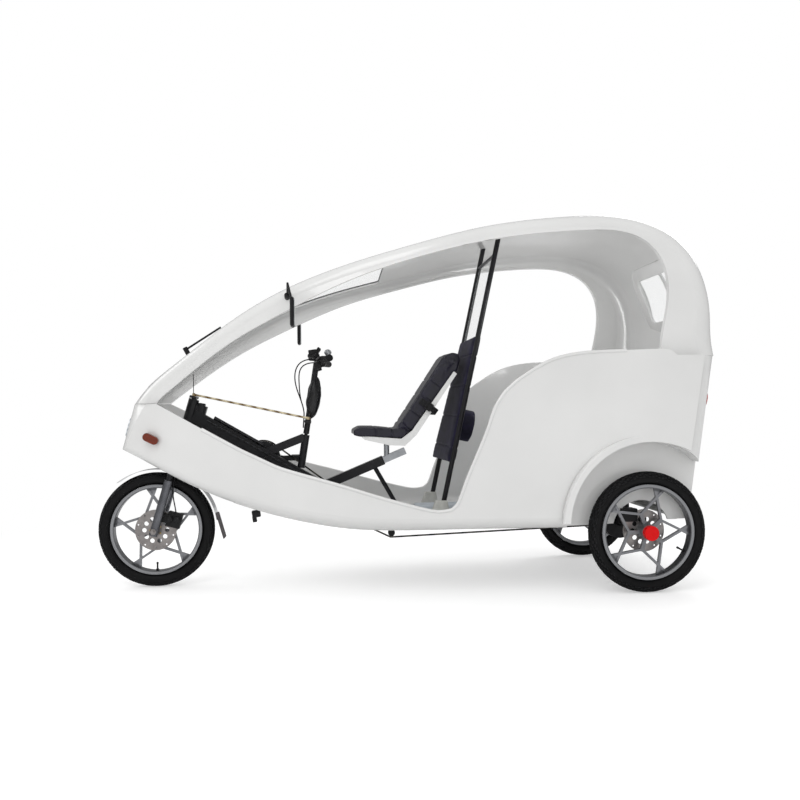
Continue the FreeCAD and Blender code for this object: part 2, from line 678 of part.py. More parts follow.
def brake_disc(label, centre, side, bore):
    """A drilled disc bolted to the hub's face, on the side that sign gives."""
    middle = centre.add(V(0, side, 0))
    half = size("disc_thickness") / 2
    plate = cross_rod(label + "_plate", middle, half, "Sizes.disc_radius")
    holes = [cross_rod(label + "_bore", middle, half + 1.0, bore)]
    hub_edge = size("hub_radius")
    window_circle = hub_edge + size("disc_window_radius") + 6.0
    drill_circle = size("disc_radius") - 12.0
    for k in range(10):
        window = around(middle, window_circle, 36.0 * k)
        drilling = around(middle, drill_circle, 36.0 * k + 18.0)
        holes.append(cross_rod("%s_window_%d" % (label, k), window, half + 1.0, "Sizes.disc_window_radius"))
        holes.append(cross_rod("%s_drilling_%d" % (label, k), drilling, half + 1.0, "4.0"))
    return node(label, cut(label + "_cut", plate, fuse(label + "_holes", holes)))


FRONT_AXLE = front(0.0, AXLE_Z)
FRONT_BORE = "Sizes.axle_radius + Sizes.bearing_clearance"
tyre("front_tyre", FRONT_AXLE)
cast_wheel("front_rim", FRONT_AXLE, size("front_hub_width"), FRONT_BORE, 83.0)
FRONT_DISC_SIDE = size("front_hub_width") / 2 + size("disc_thickness") / 2
brake_disc("front_disc", FRONT_AXLE, FRONT_DISC_SIDE, "Sizes.hub_radius / 2")

REAR_HALF = size("rear_track") / 2
STUB_RADIUS = 14.0
for side_name, sign in (("left", 1), ("right", -1)):
    middle = rear(0.0, AXLE_Z, sign * REAR_HALF)
    tyre("rear_tyre_" + side_name, middle)
    cast_wheel("rear_rim_" + side_name, middle, size("rear_hub_width"),
               "%s + Sizes.bearing_clearance" % STUB_RADIUS, 107.0 if sign > 0 else 30.0)
    inboard = -sign * (size("rear_hub_width") / 2 + size("disc_thickness") / 2)
    brake_disc("rear_disc_" + side_name, middle, inboard, "Sizes.hub_radius / 2")
    cap_low = middle.add(V(0, sign * size("rear_hub_width") / 2, 0))
    cap_high = cap_low.add(V(0, sign * 26.0, 0))
    cap_bore = cap_low.add(V(0, sign * 14.0, 0))
    cap = rod("cap_body_" + side_name, cap_low, cap_high, "Sizes.hub_cap_radius")
    hollow = rod("cap_hollow_" + side_name, cap_low.sub(V(0, sign, 0)), cap_bore,
                 "%s + 4" % STUB_RADIUS)
    node("hub_cap_" + side_name, cut("cap_cut_" + side_name, cap, hollow))

# ---------------------------------------------------------------------------------------------
# Fork: turns about the raked steering axis
# ---------------------------------------------------------------------------------------------
RAKE = math.radians(size("rake"))
STEER_UP = V(-math.sin(RAKE), 0, math.cos(RAKE))
STEER_FORWARD = V(math.cos(RAKE), 0, math.sin(RAKE))
STEER_TURN = ROTATION(AXIS_Y, -size("rake"))


def steer(along, side=0.0, forward=0.0):
    """A point in the fork's frame: along the steering axis from the axle, sideways, forward."""
    return FRONT_AXLE.add(STEER_UP * along).add(STEER_FORWARD * forward).add(V(0, side, 0))


def steer_block(name, along, side, forward):
    """A box in the fork's frame; each argument is a (low, high) pair."""
    obj = doc.addObject("Part::Box", name)
    obj.Length = forward[1] - forward[0]
    obj.Width = side[1] - side[0]
    obj.Height = along[1] - along[0]
    return place(obj, steer(along[0], side[0], forward[0]), STEER_TURN)


LEG = size("fork_half_spacing")
CROWN_LOW = size("crown_height") - size("crown_thickness") / 2
CROWN_HIGH = size("crown_height") + size("crown_thickness") / 2
HEAD_LOW = CROWN_HIGH + 6.0
HEAD_HIGH = HEAD_LOW + size("head_tube_length")
ARM_LOW = HEAD_HIGH + 4.0
ARM_HIGH = ARM_LOW + 12.0

legs = []
for sign in (1, -1):
    side = sign * LEG
    legs.append(rod("leg_%d" % (sign + 1), steer(-24.0, side), steer(size("leg_top"), side),
                    "Sizes.fork_leg_radius"))
leg_pair = doc.addObject("Part::Compound", "leg_pair")
leg_pair.Links = legs
axle_hole = cross_rod("axle_hole", FRONT_AXLE, 120.0, FRONT_BORE)
node("fork_legs", cut("legs_cut", leg_pair, axle_hole))

stanchions = []
for sign in (1, -1):
    side = sign * LEG
    stanchions.append(rod("stanchion_%d" % (sign + 1), steer(size("leg_top"), side),
                          steer(CROWN_HIGH + 8.0, side), "Sizes.stanchion_radius"))
crown = steer_block("crown", (CROWN_LOW, CROWN_HIGH), (-LEG - 24.0, LEG + 24.0), (-24.0, 24.0))
steerer = rod("steerer", steer(CROWN_LOW), steer(ARM_HIGH), "Sizes.steerer_radius")
STUD_RADIUS = 4.0
EYE_RADIUS = 9.0
EYE_HALF = 6.0
front_stud = rod("front_stud", steer(ARM_LOW, size("arm_length")),
                 steer(ARM_HIGH + 2 * EYE_HALF + 3.0, size("arm_length")), str(STUD_RADIUS))
arm = steer_block("steering_arm", (ARM_LOW, ARM_HIGH), (-20.0, size("arm_length") + 12.0),
                  (-17.0, 17.0))
node("fork_crown", fuse("crown_fuse", stanchions + [crown, steerer, arm, front_stud]))

# The axle's thread runs on past a nut on each side.
LEG_FACE = LEG + size("fork_leg_radius")
NUT_FACE = LEG_FACE + 0.3 + size("axle_nut_height")
axle_parts = [cross_rod("front_axle_pin", FRONT_AXLE, NUT_FACE, "Sizes.axle_radius"),
              cross_rod("front_axle_ends", FRONT_AXLE, NUT_FACE + size("axle_end_length"),
                        "Sizes.axle_end_radius")]
for sign in (1, -1):
    nut = doc.addObject("Part::Prism", "axle_nut_%d" % (sign + 1))
    nut.Polygon = 6
    nut.Circumradius = 2 * size("axle_radius")
    nut.Height = size("axle_nut_height")
    start = FRONT_AXLE.add(V(0, sign * NUT_FACE, 0))
    axle_parts.append(place(nut, start, ROTATION(AXIS_Z, V(0, -sign, 0))))
node("front_axle", fuse("axle_parts", axle_parts))

GUARD_INNER = size("tyre_radius") + size("mudguard_gap")
GUARD_START = 52.0
GUARD_END = 172.0


def wheel_sector(centre, inner, outer, half_width, start, end):
    """A curved plate over a wheel between two angles, measured from straight ahead upwards."""
    a = around(centre, inner, start, -half_width)
    b = around(centre, outer, start, -half_width)
    c = around(centre, outer, (start + end) / 2, -half_width)
    d = around(centre, outer, end, -half_width)
    e = around(centre, inner, end, -half_width)
    f = around(centre, inner, (start + end) / 2, -half_width)
    wire = Part.Wire([
        Part.LineSegment(a, b).toShape(), Part.Arc(b, c, d).toShape(),
        Part.LineSegment(d, e).toShape(), Part.Arc(e, f, a).toShape()])
    return Part.Face(wire).extrude(V(0, 2 * half_width, 0))


guard_band = wheel_sector(FRONT_AXLE, GUARD_INNER, GUARD_INNER + size("sheet_thickness"),
                          size("mudguard_width") / 2, GUARD_START, GUARD_END)
stays = []
for sign in (1, -1):
    low, high = sorted((sign * size("mudguard_width") / 2, sign * (LEG - size("fork_leg_radius"))))
    tab = Part.makeBox(24.0, high - low, 14.0)
    tab.Placement = FreeCAD.Placement(steer(228.0, low, -12.0), STEER_TURN)
    side_low, side_high = sorted((sign * (size("mudguard_width") / 2 - 2.0),
                                  sign * size("mudguard_width") / 2))
    drop = Part.makeBox(24.0, side_high - side_low, 76.0)
    drop.Placement = FreeCAD.Placement(steer(228.0, side_low, -12.0), STEER_TURN)
    stays += [tab, drop]
feature("front_mudguard", guard_band.fuse(stays))

FLAP_THICKNESS = 7.0
flap_top = around(FRONT_AXLE, GUARD_INNER + size("sheet_thickness") + size("soft_gap") + FLAP_THICKNESS / 2,
                  GUARD_END - 6.0)
flap_low = front(330.0, 232.0)
flap = bar("flap", flap_top, flap_low, "Sizes.mudguard_width - 8", str(FLAP_THICKNESS))
node("mud_flap", flap)

# ---------------------------------------------------------------------------------------------
# Frame: head tube, main beam, floor beam, seat beam, handlebar post
# ---------------------------------------------------------------------------------------------
head_shell = rod("head_shell", steer(HEAD_LOW), steer(HEAD_HIGH), "Sizes.head_tube_radius")
head_bore = rod("head_bore", steer(HEAD_LOW - 5.0), steer(HEAD_HIGH + 5.0),
                "Sizes.steerer_radius + Sizes.bearing_clearance")
BEAM_TOP = front(180.0, 845.0)
BEAM_LOW = front(1000.0, 366.0)
FLOOR_DEPTH = size("beam_depth") - 14.0
FLOOR_TOP = size("floor_height") + size("shell_wall")
FLOOR_Z = FLOOR_TOP + FLOOR_DEPTH / 2
main_beam = bar("main_beam", BEAM_TOP, BEAM_LOW, "Sizes.beam_width", "Sizes.beam_depth")
floor_beam = bar("floor_beam", front(1020.0, FLOOR_Z), rear(-330.0, FLOOR_Z), "Sizes.beam_width",
                 "Sizes.beam_depth - 14")
RAIL_SIDE = 190.0
rails = []
saddles = []
for sign in (1, -1):
    side = sign * RAIL_SIDE
    rails.append(block("rail_%d" % (sign + 1), rear(40.0, FLOOR_TOP, side - 15.0),
                       rear(-330.0, FLOOR_TOP + 36.0, side + 15.0)))
    saddle = block("saddle_box_%d" % (sign + 1), rear(34.0, AXLE_Z, side - 15.0),
                   rear(-34.0, FLOOR_TOP + 2.0, side + 15.0))
    seat_bore = cross_rod("saddle_bore_%d" % (sign + 1), rear(0.0, AXLE_Z, side), 30.0,
                          "24 + Sizes.bearing_clearance")
    saddles.append(cut("saddle_%d" % (sign + 1), saddle, seat_bore))
cross_member = block("cross_member", rear(-300.0, FLOOR_TOP, -RAIL_SIDE - 15.0),
                     rear(-345.0, FLOOR_TOP + FLOOR_DEPTH, RAIL_SIDE + 15.0))
seat_beam = bar("seat_beam", front(840.0, 488.0), front(1130.0, 607.0), "Sizes.beam_width",
                "Sizes.beam_depth - 18")
seat_strut = rod("seat_strut", front(1082.0, 576.0), front(1214.0, FLOOR_TOP + 20.0), "11")
post_foot = front(712.0, 575.0)
post_head = front(738.0, 740.0)
column_post = rod("column_post", post_foot, post_head, "Sizes.column_radius + 4")
post_brace = bar("post_brace", front(540.0, 655.0), front(728.0, 728.0), "Sizes.beam_width - 11", "40")
gusset = steer_block("gusset", (HEAD_HIGH - 140.0, HEAD_HIGH - 20.0), (-16.0, 16.0), (-74.0, -10.0))
bracket_shell = cross_rod("bracket_shell", BRACKET, 34.0, "22")
bracket_bore = cross_rod("bracket_bore", BRACKET, 40.0, "11 + Sizes.bearing_clearance")
frame_solid = fuse("frame_fuse", [head_shell, main_beam, floor_beam, seat_beam, seat_strut,
                                  column_post, post_brace, bracket_shell, cross_member, gusset] + rails
                   + saddles)
BEAM_RUN = BEAM_LOW.sub(BEAM_TOP)
BEAM_RUN.normalize()
BEAM_NORMAL = V(BEAM_RUN.z, 0, -BEAM_RUN.x)


def on_beam(along, side, lift):
    """A point in the main beam's frame: down the beam from its top end, sideways, square to it."""
    return BEAM_TOP.add(BEAM_RUN * along).add(BEAM_NORMAL * lift).add(V(0, side, 0))


# Two cable conduits lie on the beam: a ribbed one on top, a thin one along the left side.
TOP_CONDUIT = 9.0
SIDE_CONDUIT = 5.0
top_lift = size("beam_depth") / 2 + size("soft_gap") + TOP_CONDUIT
side_reach = size("beam_width") / 2 + size("soft_gap") + SIDE_CONDUIT
conduits = doc.addObject("Part::Compound", "conduit_pair")
conduits.Links = [
    rod("top_conduit", on_beam(95.0, 0.0, top_lift), on_beam(375.0, 0.0, top_lift), str(TOP_CONDUIT)),
    rod("side_conduit", on_beam(70.0, side_reach, 14.0), on_beam(700.0, side_reach, 14.0),
        str(SIDE_CONDUIT))]
node("cable_conduits", conduits)
COLUMN_TILT = math.radians(size("column_tilt"))
COLUMN_UP = V(-math.sin(COLUMN_TILT), 0, math.cos(COLUMN_TILT))
COLUMN_FORWARD = V(math.cos(COLUMN_TILT), 0, math.sin(COLUMN_TILT))
COLUMN_TURN = ROTATION(AXIS_Y, -size("column_tilt"))
COLUMN_FOOT = post_head


def column(along, side=0.0, forward=0.0):
    """A point in the handlebar column's frame."""
    return COLUMN_FOOT.add(COLUMN_UP * along).add(COLUMN_FORWARD * forward).add(V(0, side, 0))


def column_block(name, along, side, forward):
    obj = doc.addObject("Part::Box", name)
    obj.Length = forward[1] - forward[0]
    obj.Width = side[1] - side[0]
    obj.Height = along[1] - along[0]
    return place(obj, column(along[0], side[0], forward[0]), COLUMN_TURN)


pivot_bore = rod("pivot_bore", column(-60.0), column(40.0), "9 + Sizes.bearing_clearance")
bores = fuse("frame_bores", [head_bore, bracket_bore, pivot_bore])
node("frame", cut("frame_cut", frame_solid, bores))

# ---------------------------------------------------------------------------------------------
# Handlebar and steering link
# ---------------------------------------------------------------------------------------------
pivot_pin = rod("pivot_pin", column(-50.0), column(8.0), "9")
tube = rod("column_tube", column(6.0), column(372.0), "Sizes.column_radius")
LINK_ALONG = 68.0
bar_arm = column_block("column_arm", (LINK_ALONG - 6.0, LINK_ALONG + 6.0),
                       (-18.0, size("arm_length") + 12.0), (-17.0, 17.0))
EYE_LIFT = 6.0
rear_stud = rod("rear_stud", column(LINK_ALONG, size("arm_length")),
                column(LINK_ALONG + 6.0 + 2 * EYE_LIFT + 2 * EYE_HALF, size("arm_length")),
                str(STUD_RADIUS))
centre_bar = cross_rod("centre_bar", column(372.0), 70.0, "Sizes.bar_radius")
bar_parts = [pivot_pin, tube, bar_arm, centre_bar, rear_stud]
grips = []
levers = []
cables = []
BAR_BACK = 62.0
for sign in (1, -1):
    inner_end = column(372.0, sign * 66.0)
    outer_end = column(386.0, sign * size("bar_half_width"), -BAR_BACK)
    bar_parts.append(rod("bar_side_%d" % (sign + 1), inner_end, outer_end, "Sizes.bar_radius"))
    reach = outer_end.sub(inner_end)
    reach.normalize()
    start = outer_end.sub(reach * 118.0)
    outside = rod("grip_out_%d" % (sign + 1), start, outer_end.add(reach * 4.0), "Sizes.grip_radius")
    inside = rod("grip_in_%d" % (sign + 1), start.sub(reach * 5.0), outer_end.add(reach * 0.2),
                 "Sizes.bar_radius + 0.1")
    grips.append(cut("grip_%d" % (sign + 1), outside, inside))
    lever_root = start.sub(reach * 26.0)
    clamp = rod("lever_clamp_%d" % (sign + 1), lever_root.sub(reach * 12.0),
                lever_root.add(reach * 12.0), "Sizes.bar_radius + 6")
    clamp_bore = rod("clamp_bore_%d" % (sign + 1), lever_root.sub(reach * 16.0),
                     lever_root.add(reach * 16.0), "Sizes.bar_radius + 0.1")
    blade_start = lever_root.add(COLUMN_FORWARD * 22.0)
    blade_end = outer_end.add(COLUMN_FORWARD * 46.0).sub(reach * 12.0)
    blade = rod("lever_blade_%d" % (sign + 1), blade_start, blade_end, "5")
    root = rod("lever_root_%d" % (sign + 1), lever_root.add(COLUMN_FORWARD * 12.0),
               lever_root.add(COLUMN_FORWARD * 30.0), "9")
    cables.append(cable([lever_root.add(COLUMN_FORWARD * 31.0),
                         column(330.0, sign * 95.0, 84.0 + sign * 6.0),
                         column(250.0, sign * 42.0, 80.0 + sign * 8.0),
                         column(170.0, sign * 16.0, 50.0),
                         column(110.0, sign * 6.0, 26.0),
                         column(68.0, sign * 5.5, 21.5),
                         column(34.0, sign * 5.0, 18.5)], size("cable_radius")))
    levers.append(cut("lever_%d" % (sign + 1), fuse("lever_fuse_%d" % (sign + 1),
                                                    [clamp, root, blade]), clamp_bore))
node("handlebar", fuse("handlebar_fuse", bar_parts))
for name, items in (("grips", grips), ("brake_levers", levers)):
    pair = doc.addObject("Part::Compound", name + "_pair")
    pair.Links = items
    node(name, pair)
feature("control_cables", Part.makeCompound(cables))
throttle_case = column_block("throttle_case", (150.0, 292.0), (-27.0, 27.0), (-46.0, 24.0))
case_bore = rod("case_bore", column(140.0), column(300.0), "Sizes.column_radius + 0.1")
node("column_case", cut("case_cut", throttle_case, case_bore))

# The link is a rod with an eye at each end. The front eye turns on the fork arm's stud. The rear eye
# has a wider bore, because the column leans less than the fork and its stud drifts a little.
DRIFT = 1.4
LINK_FRONT = steer(ARM_HIGH + 1.0 + EYE_HALF, size("arm_length"))
LINK_REAR = column(LINK_ALONG + 6.0 + EYE_LIFT + EYE_HALF, size("arm_length"))
link_run = LINK_REAR.sub(LINK_FRONT)
link_run.normalize()
link_rod = rod("link_rod", LINK_FRONT.add(link_run * 7.0), LINK_REAR.sub(link_run * 8.0), "5")
front_eye = rod("front_eye", LINK_FRONT.sub(STEER_UP * EYE_HALF), LINK_FRONT.add(STEER_UP * EYE_HALF),
                str(EYE_RADIUS))
rear_eye = rod("rear_eye", LINK_REAR.sub(COLUMN_UP * EYE_HALF), LINK_REAR.add(COLUMN_UP * EYE_HALF),
               str(EYE_RADIUS + 1.0))
front_eye_bore = rod("front_eye_bore", LINK_FRONT.sub(STEER_UP * 20.0),
                     LINK_FRONT.add(STEER_UP * 20.0), "%s + Sizes.bearing_clearance" % STUD_RADIUS)
rear_eye_bore = rod("rear_eye_bore", LINK_REAR.sub(COLUMN_UP * 20.0), LINK_REAR.add(COLUMN_UP * 20.0),
                    str(STUD_RADIUS + DRIFT))
node("steering_link", cut("link_cut", fuse("link_fuse", [link_rod, front_eye, rear_eye]),
                          fuse("eye_bores", [front_eye_bore, rear_eye_bore])))

# ---------------------------------------------------------------------------------------------
# Pedal drive
# ---------------------------------------------------------------------------------------------
spindle = cross_rod("spindle", BRACKET, 60.0, "11")
crank_parts = [spindle]
pedals = []
CRANK_SIDE = 56.0
for sign in (1, -1):
    tip = BRACKET.add(V(sign * size("crank_length"), sign * (CRANK_SIDE + 6.0), 0))
    root_point = BRACKET.add(V(0, sign * (CRANK_SIDE + 6.0), 0))
    crank_parts.append(bar("crank_%d" % (sign + 1), root_point.sub(V(sign * 16.0, 0, 0)),
                           tip.add(V(sign * 12.0, 0, 0)), "12", "26"))
    pin_start = tip
    pin_end = tip.add(V(0, sign * (8.0 + size("pedal_length")), 0))
    crank_parts.append(rod("pedal_pin_%d" % (sign + 1), pin_start, pin_end, "5"))
    low, high = sorted((tip.y + sign * 10.0, tip.y + sign * (10.0 + size("pedal_length"))))
    body = block("pedal_body_%d" % (sign + 1), V(tip.x - 32.0, low, tip.z - 12.0),
                 V(tip.x + 32.0, high, tip.z + 12.0))
    pin_bore = rod("pedal_bore_%d" % (sign + 1), pin_start, pin_end.add(V(0, sign * 4.0, 0)), "5.1")
    pedals.append(cut("pedal_%d" % (sign + 1), body, pin_bore))
chainring = ring("chainring", BRACKET.sub(V(0, size("chain_side"), 0)), 2.0, "Sizes.chainring_radius",
                 "10.5")
crank_parts.append(chainring)
node("crankset", fuse("crank_fuse", crank_parts))
pair = doc.addObject("Part::Compound", "pedal_pair")
pair.Links = pedals
node("pedals", pair)

# ---------------------------------------------------------------------------------------------
# Rear axle
# ---------------------------------------------------------------------------------------------
AXLE_BEAM_HALF = REAR_HALF - size("rear_hub_width") / 2 - size("disc_thickness") - 8.0
axle_beam = cross_rod("axle_beam", rear(0.0, AXLE_Z), AXLE_BEAM_HALF, "24")
axle_shaft = cross_rod("axle_shaft", rear(0.0, AXLE_Z), REAR_HALF + size("rear_hub_width") / 2 + 6.0,
                       str(STUB_RADIUS))
motor_case = ring("motor_case", rear(0.0, AXLE_Z, 60.0), 62.0, "86", "20")
sprocket = ring("sprocket", rear(0.0, AXLE_Z, -size("chain_side")), 2.0, "Sizes.sprocket_radius", "20")
node("rear_axle", fuse("axle_fuse", [axle_beam, axle_shaft, motor_case, sprocket]))

# Guide pulleys on a plate that hangs from a foot under the floor.
PLATE_SIDE = size("chain_side") + size("chain_width") / 2 + 3.0
pulleys = [cross_rod("pulley_%d" % k, spot.sub(V(0, size("chain_side"), 0)), size("chain_width") / 2 + 4.0,
                     "Sizes.pulley_radius") for k, spot in enumerate((LOW_PULLEY, HIGH_PULLEY))]
plate_low = LOW_PULLEY.z - 10.0
hanger = block("pulley_plate", front(1184.0, plate_low, -PLATE_SIDE - 4.0),
               front(1160.0, size("floor_height") - 1.0, -PLATE_SIDE))
foot = block("pulley_foot", front(1204.0, size("floor_height") - 6.0, -PLATE_SIDE - 4.0),
             front(1140.0, size("floor_height") + 1.0, -size("chain_side") + 24.0))
floor_skin = doc.addObject("Part::Feature", "floor_skin")
floor_skin.Shape = body_loft(-size("soft_gap"))
node("chain_guide", cut("guide_cut", fuse("guide_fuse", pulleys + [hanger, foot]), floor_skin))

# ---------------------------------------------------------------------------------------------
# Driver's seat
# ---------------------------------------------------------------------------------------------
slider = bar("slider", front(1130.0, 607.0), front(1242.0, 653.0), "Sizes.beam_width - 10",
             "Sizes.beam_depth - 28")
seat_post = rod("seat_post", front(1147.0, 618.0), front(1147.0, 700.0), "14")
SEAT_HALF = size("seat_width") / 2
GAP = size("soft_gap")
shell_outline = [front(1017.0, 735.0), front(1210.0, 719.5), front(1264.0, 759.0),
                 front(1476.0, 1052.0), front(1492.0, 1040.0), front(1286.0, 738.0),
                 front(1228.0, 684.0), front(1150.0, 688.0), front(1030.0, 716.0)]
seat_tray = side_prism(shell_outline, SEAT_HALF - 12.0)
doc.recompute()
feature("seat_shell", seat_tray)
slider_pair = fuse("slider_fuse", [slider, seat_post])
tray_tool = doc.addObject("Part::Feature", "tray_tool")
tray_tool.Shape = seat_tray
node("seat_slider", cut("slider_cut", slider_pair, tray_tool))
cushion_outline = [front(968.0, 744.0), front(972.0, 768.0), front(990.0, 777.0),
                   front(1080.0, 775.0), front(1180.0, 764.0), front(1232.0, 770.0),
                   front(1240.0, 742.4), front(1210.0, 719.9), front(1000.0, 736.8)]
back_outline = [front(1242.0, 775.0), front(1216.0, 800.0), front(1440.0, 1138.0),
                front(1468.0, 1152.0), front(1500.0, 1146.0), front(1511.0, 1118.0),
                front(1494.5, 1062.0), front(1475.7, 1052.4), front(1263.8, 759.3)]
feature("seat_cushion", side_prism(cushion_outline, SEAT_HALF))
feature("back_cushion", side_prism(back_outline, SEAT_HALF - 6.0).cut(seat_tray))

# ---------------------------------------------------------------------------------------------
# Partition between driver and passengers
# ---------------------------------------------------------------------------------------------
POST_LOW = front(1391.0, FLOOR_TOP)
POST_HIGH = front(1703.0, 1739.0)
POST_RUN = POST_HIGH.sub(POST_LOW)


def on_posts(height, side=0.0, behind=0.0):
    """A point on the partition's slanted plane at a height, moved behind it along the vehicle."""
    share = (height - POST_LOW.z) / POST_RUN.z
    return V(POST_LOW.x + POST_RUN.x * share - behind, side, height)


post_rods = [rod("post_%d" % (sign + 1), on_posts(FLOOR_TOP - 6.0, sign * size("post_half_spacing")),
                 on_posts(1760.0, sign * size("post_half_spacing")), "Sizes.post_radius")
             for sign in (1, -1)]
post_bar = cross_rod("post_bar", on_posts(1625.0), size("post_half_spacing"), "9")
below_floor = block("below_floor", rear(-600.0, 250.0, -400.0), rear(-1200.0, FLOOR_TOP, 400.0))
roof_tool = doc.addObject("Part::Feature", "roof_tool")
roof_tool.Shape = hood_band(-60.0, size("hood_wall") + 60.0 + GAP, 60.0)
posts_fuse = fuse("posts_fuse", post_rods + [post_bar])
posts_trim = fuse("posts_trim", [below_floor, roof_tool])
node("partition_posts", cut("posts_cut", posts_fuse, posts_trim))
INSIDE_POSTS = size("post_half_spacing") - size("post_radius") - GAP


def slanted_slab(low, high, half_width, thickness):
    corners = [on_posts(low, 0, -thickness / 2), on_posts(low, 0, thickness / 2),
               on_posts(high, 0, thickness / 2), on_posts(high, 0, -thickness / 2)]
    return side_prism(corners, half_width)


feature("partition_panel", slanted_slab(545.0, 1175.0, INSIDE_POSTS, 18.0))
feature("partition_film", slanted_slab(1175.3, 1615.0, INSIDE_POSTS, 2.0))
pad_centre = on_posts(790.0, 0.0, 9.0 + GAP)
rest_pad = primitive("Cylinder", "pad_body", Radius="Sizes.pad_radius", Height="Sizes.pad_thickness")
tilt = math.degrees(math.atan2(-POST_RUN.x, POST_RUN.z))
place(rest_pad, pad_centre, ROTATION(AXIS_Y, -90.0 - tilt))
node("rest_pad", rest_pad)

# ---------------------------------------------------------------------------------------------
# Passenger bench
# ---------------------------------------------------------------------------------------------
BENCH_HALF = size("bench_width") / 2
BENCH_TOP = 560.0
BENCH_WALL = 12.0
BENCH_BACK = 190.0
BENCH_LENGTH = 530.0
bench_box = Part.makeBox(BENCH_LENGTH, 2 * BENCH_HALF, BENCH_TOP - FLOOR_TOP,
                         rear(BENCH_BACK, FLOOR_TOP, -BENCH_HALF))
bench_room = Part.makeBox(BENCH_LENGTH, 2 * (BENCH_HALF - BENCH_WALL), BENCH_TOP - FLOOR_TOP,
                          rear(BENCH_BACK + BENCH_WALL, FLOOR_TOP - BENCH_WALL,
                               -BENCH_HALF + BENCH_WALL))
bench_notch = Part.makeBox(200.0, 2 * RAIL_SIDE + 60.0, 70.0,
                           rear(-240.0, FLOOR_TOP - 10.0, -RAIL_SIDE - 30.0))
bench_axle = y_cylinder(REAR_X, AXLE_Z, 150.0, -BENCH_HALF - 5.0, BENCH_HALF + 5.0)
feature("bench_base", bench_box.cut(bench_room).cut(bench_notch).cut(bench_axle))
feature("bench_cushion", Part.makeBox(460.0, 2 * BENCH_HALF - 10.0, 66.0,
                                      rear(100.0, BENCH_TOP + GAP, -BENCH_HALF + 5.0)))
back_rest = side_prism([rear(100.3, BENCH_TOP + GAP), rear(BENCH_BACK, BENCH_TOP + GAP),
                        rear(262.0, 1090.0), rear(192.0, 1090.0)], BENCH_HALF - 5.0)
feature("bench_backrest", back_rest)

# ---------------------------------------------------------------------------------------------
# Glazing, lamps, mirrors, wiper, mat
# ---------------------------------------------------------------------------------------------
window_bar_box = Part.makeBox(400.0, 18.0, 600.0, V(-size("overall_length") / 2 - 100.0, -9.0, 1200.0))
pane = hood_band(5.0, size("screen_thickness"), size("screen_thickness"))
pane = pane.common(rear_window_prism(GAP))
feature("rear_window", pane.cut(window_bar_box))
bar_strip = hood_band(2.0, 10.0, 10.0).common(rear_window_prism(0.0))
narrow_box = Part.makeBox(400.0, 18.0 - 2 * GAP, 600.0,
                          V(-size("overall_length") / 2 - 100.0, -9.0 + GAP, 1200.0))
feature("rear_window_bar", bar_strip.common(narrow_box))

skin = body_loft(-GAP).common(body_trim(-GAP, 250.0, 1260.0))
LAMP_DEPTH = 14.0
lamp_limit = body_trim(-GAP - LAMP_DEPTH, 250.0, 1260.0)
markers = []
for sign in (1, -1):
    low, high = sorted((sign * 60.0, sign * 186.0))
    lens = Part.makeBox(75.0, high - low, 38.0, V(-37.5, low, -19.0))
    lens = lens.makeFillet(18.0, [e for e in lens.Edges if abs(e.tangentAt(e.FirstParameter).y) > 0.9])
    lens.Placement = FreeCAD.Placement(front(8.0, 737.0), ROTATION(AXIS_Y, -27.0))
    outside = lens.cut(skin).Solids
    markers.append(sorted(outside, key=lambda item: item.CenterOfMass.y * sign)[-1])
feature("side_markers", Part.makeCompound(markers))
tail_lamps = []
for sign in (1, -1):
    lamp = Part.makeCylinder(38.0, 80.0, rear(TAIL_AFT + 2.0, 900.0, sign * 372.0), AXIS_X)
    outside = lamp.cut(skin).common(lamp_limit).Solids
    tail_lamps.append(sorted(outside, key=lambda item: item.CenterOfMass.x)[0])
feature("tail_lamps", Part.makeCompound(tail_lamps))
head_lamp = Part.makeCylinder(46.0, 200.0, V(FRONT_X, 0, 790.0), AXIS_X)
head_lamp = head_lamp.cut(skin).common(body_trim(-GAP - 5.0, 250.0, 1260.0)).Solids
head_lamp = sorted(head_lamp, key=lambda item: item.CenterOfMass.x)[-1]
feature("headlamp", head_lamp)

for side_name, sign in (("left", 1), ("right", -1)):
    clamp = front(668.0, 1382.0, sign * 386.0)
    bend = front(672.0, 1436.0, sign * 470.0)
    drop = front(690.0, 1360.0, sign * 500.0)
    stalk = [rod("stalk_a_" + side_name, clamp, bend, "5"),
             rod("stalk_b_" + side_name, bend, drop, "5"),
             rod("stalk_foot_" + side_name, clamp, clamp.add(V(0, sign * 24.0, 8.0)), "14")]
    glass = block("mirror_plate_" + side_name, front(702.0, 1237.0, sign * 500.0 - 48.0),
                  front(684.0, 1366.0, sign * 500.0 + 48.0))
    mirror = fuse("mirror_fuse_" + side_name, stalk + [rounded("glass_round_" + side_name, glass, 8.0,
                  lambda e: True)])
    tool = doc.addObject("Part::Feature", "mirror_tool_" + side_name)
    tool.Shape = hood_band(-0.3, size("hood_wall") + 0.6, size("hood_lip") + 0.6)
    node("mirror_" + side_name, cut("mirror_cut_" + side_name, mirror, tool))

wiper_cap = rod("wiper_cap", front(166.0, 1136.0), front(140.0, 1184.0), "12")
wiper_arm = rod("wiper_arm", front(146.0, 1174.0), front(318.0, 1286.0), "5")
wiper_tool = doc.addObject("Part::Feature", "wiper_tool")
wiper_tool.Shape = hood_band(3.0 - GAP, 40.0, 40.0)
node("wiper", cut("wiper_cut", fuse("wiper_fuse", [wiper_cap, wiper_arm]), wiper_tool))

mat = block("mat", rear(-700.0, FLOOR_TOP, -380.0), rear(-1040.0, FLOOR_TOP + 4.0, 380.0))
mat_holes = fuse("mat_holes", [block("mat_slot", rear(-600.0, 300.0, -30.0), rear(-1100.0, 360.0, 30.0)),
                               post_rods[0], post_rods[1]])
node("floor_mat", cut("mat_cut", mat, mat_holes))

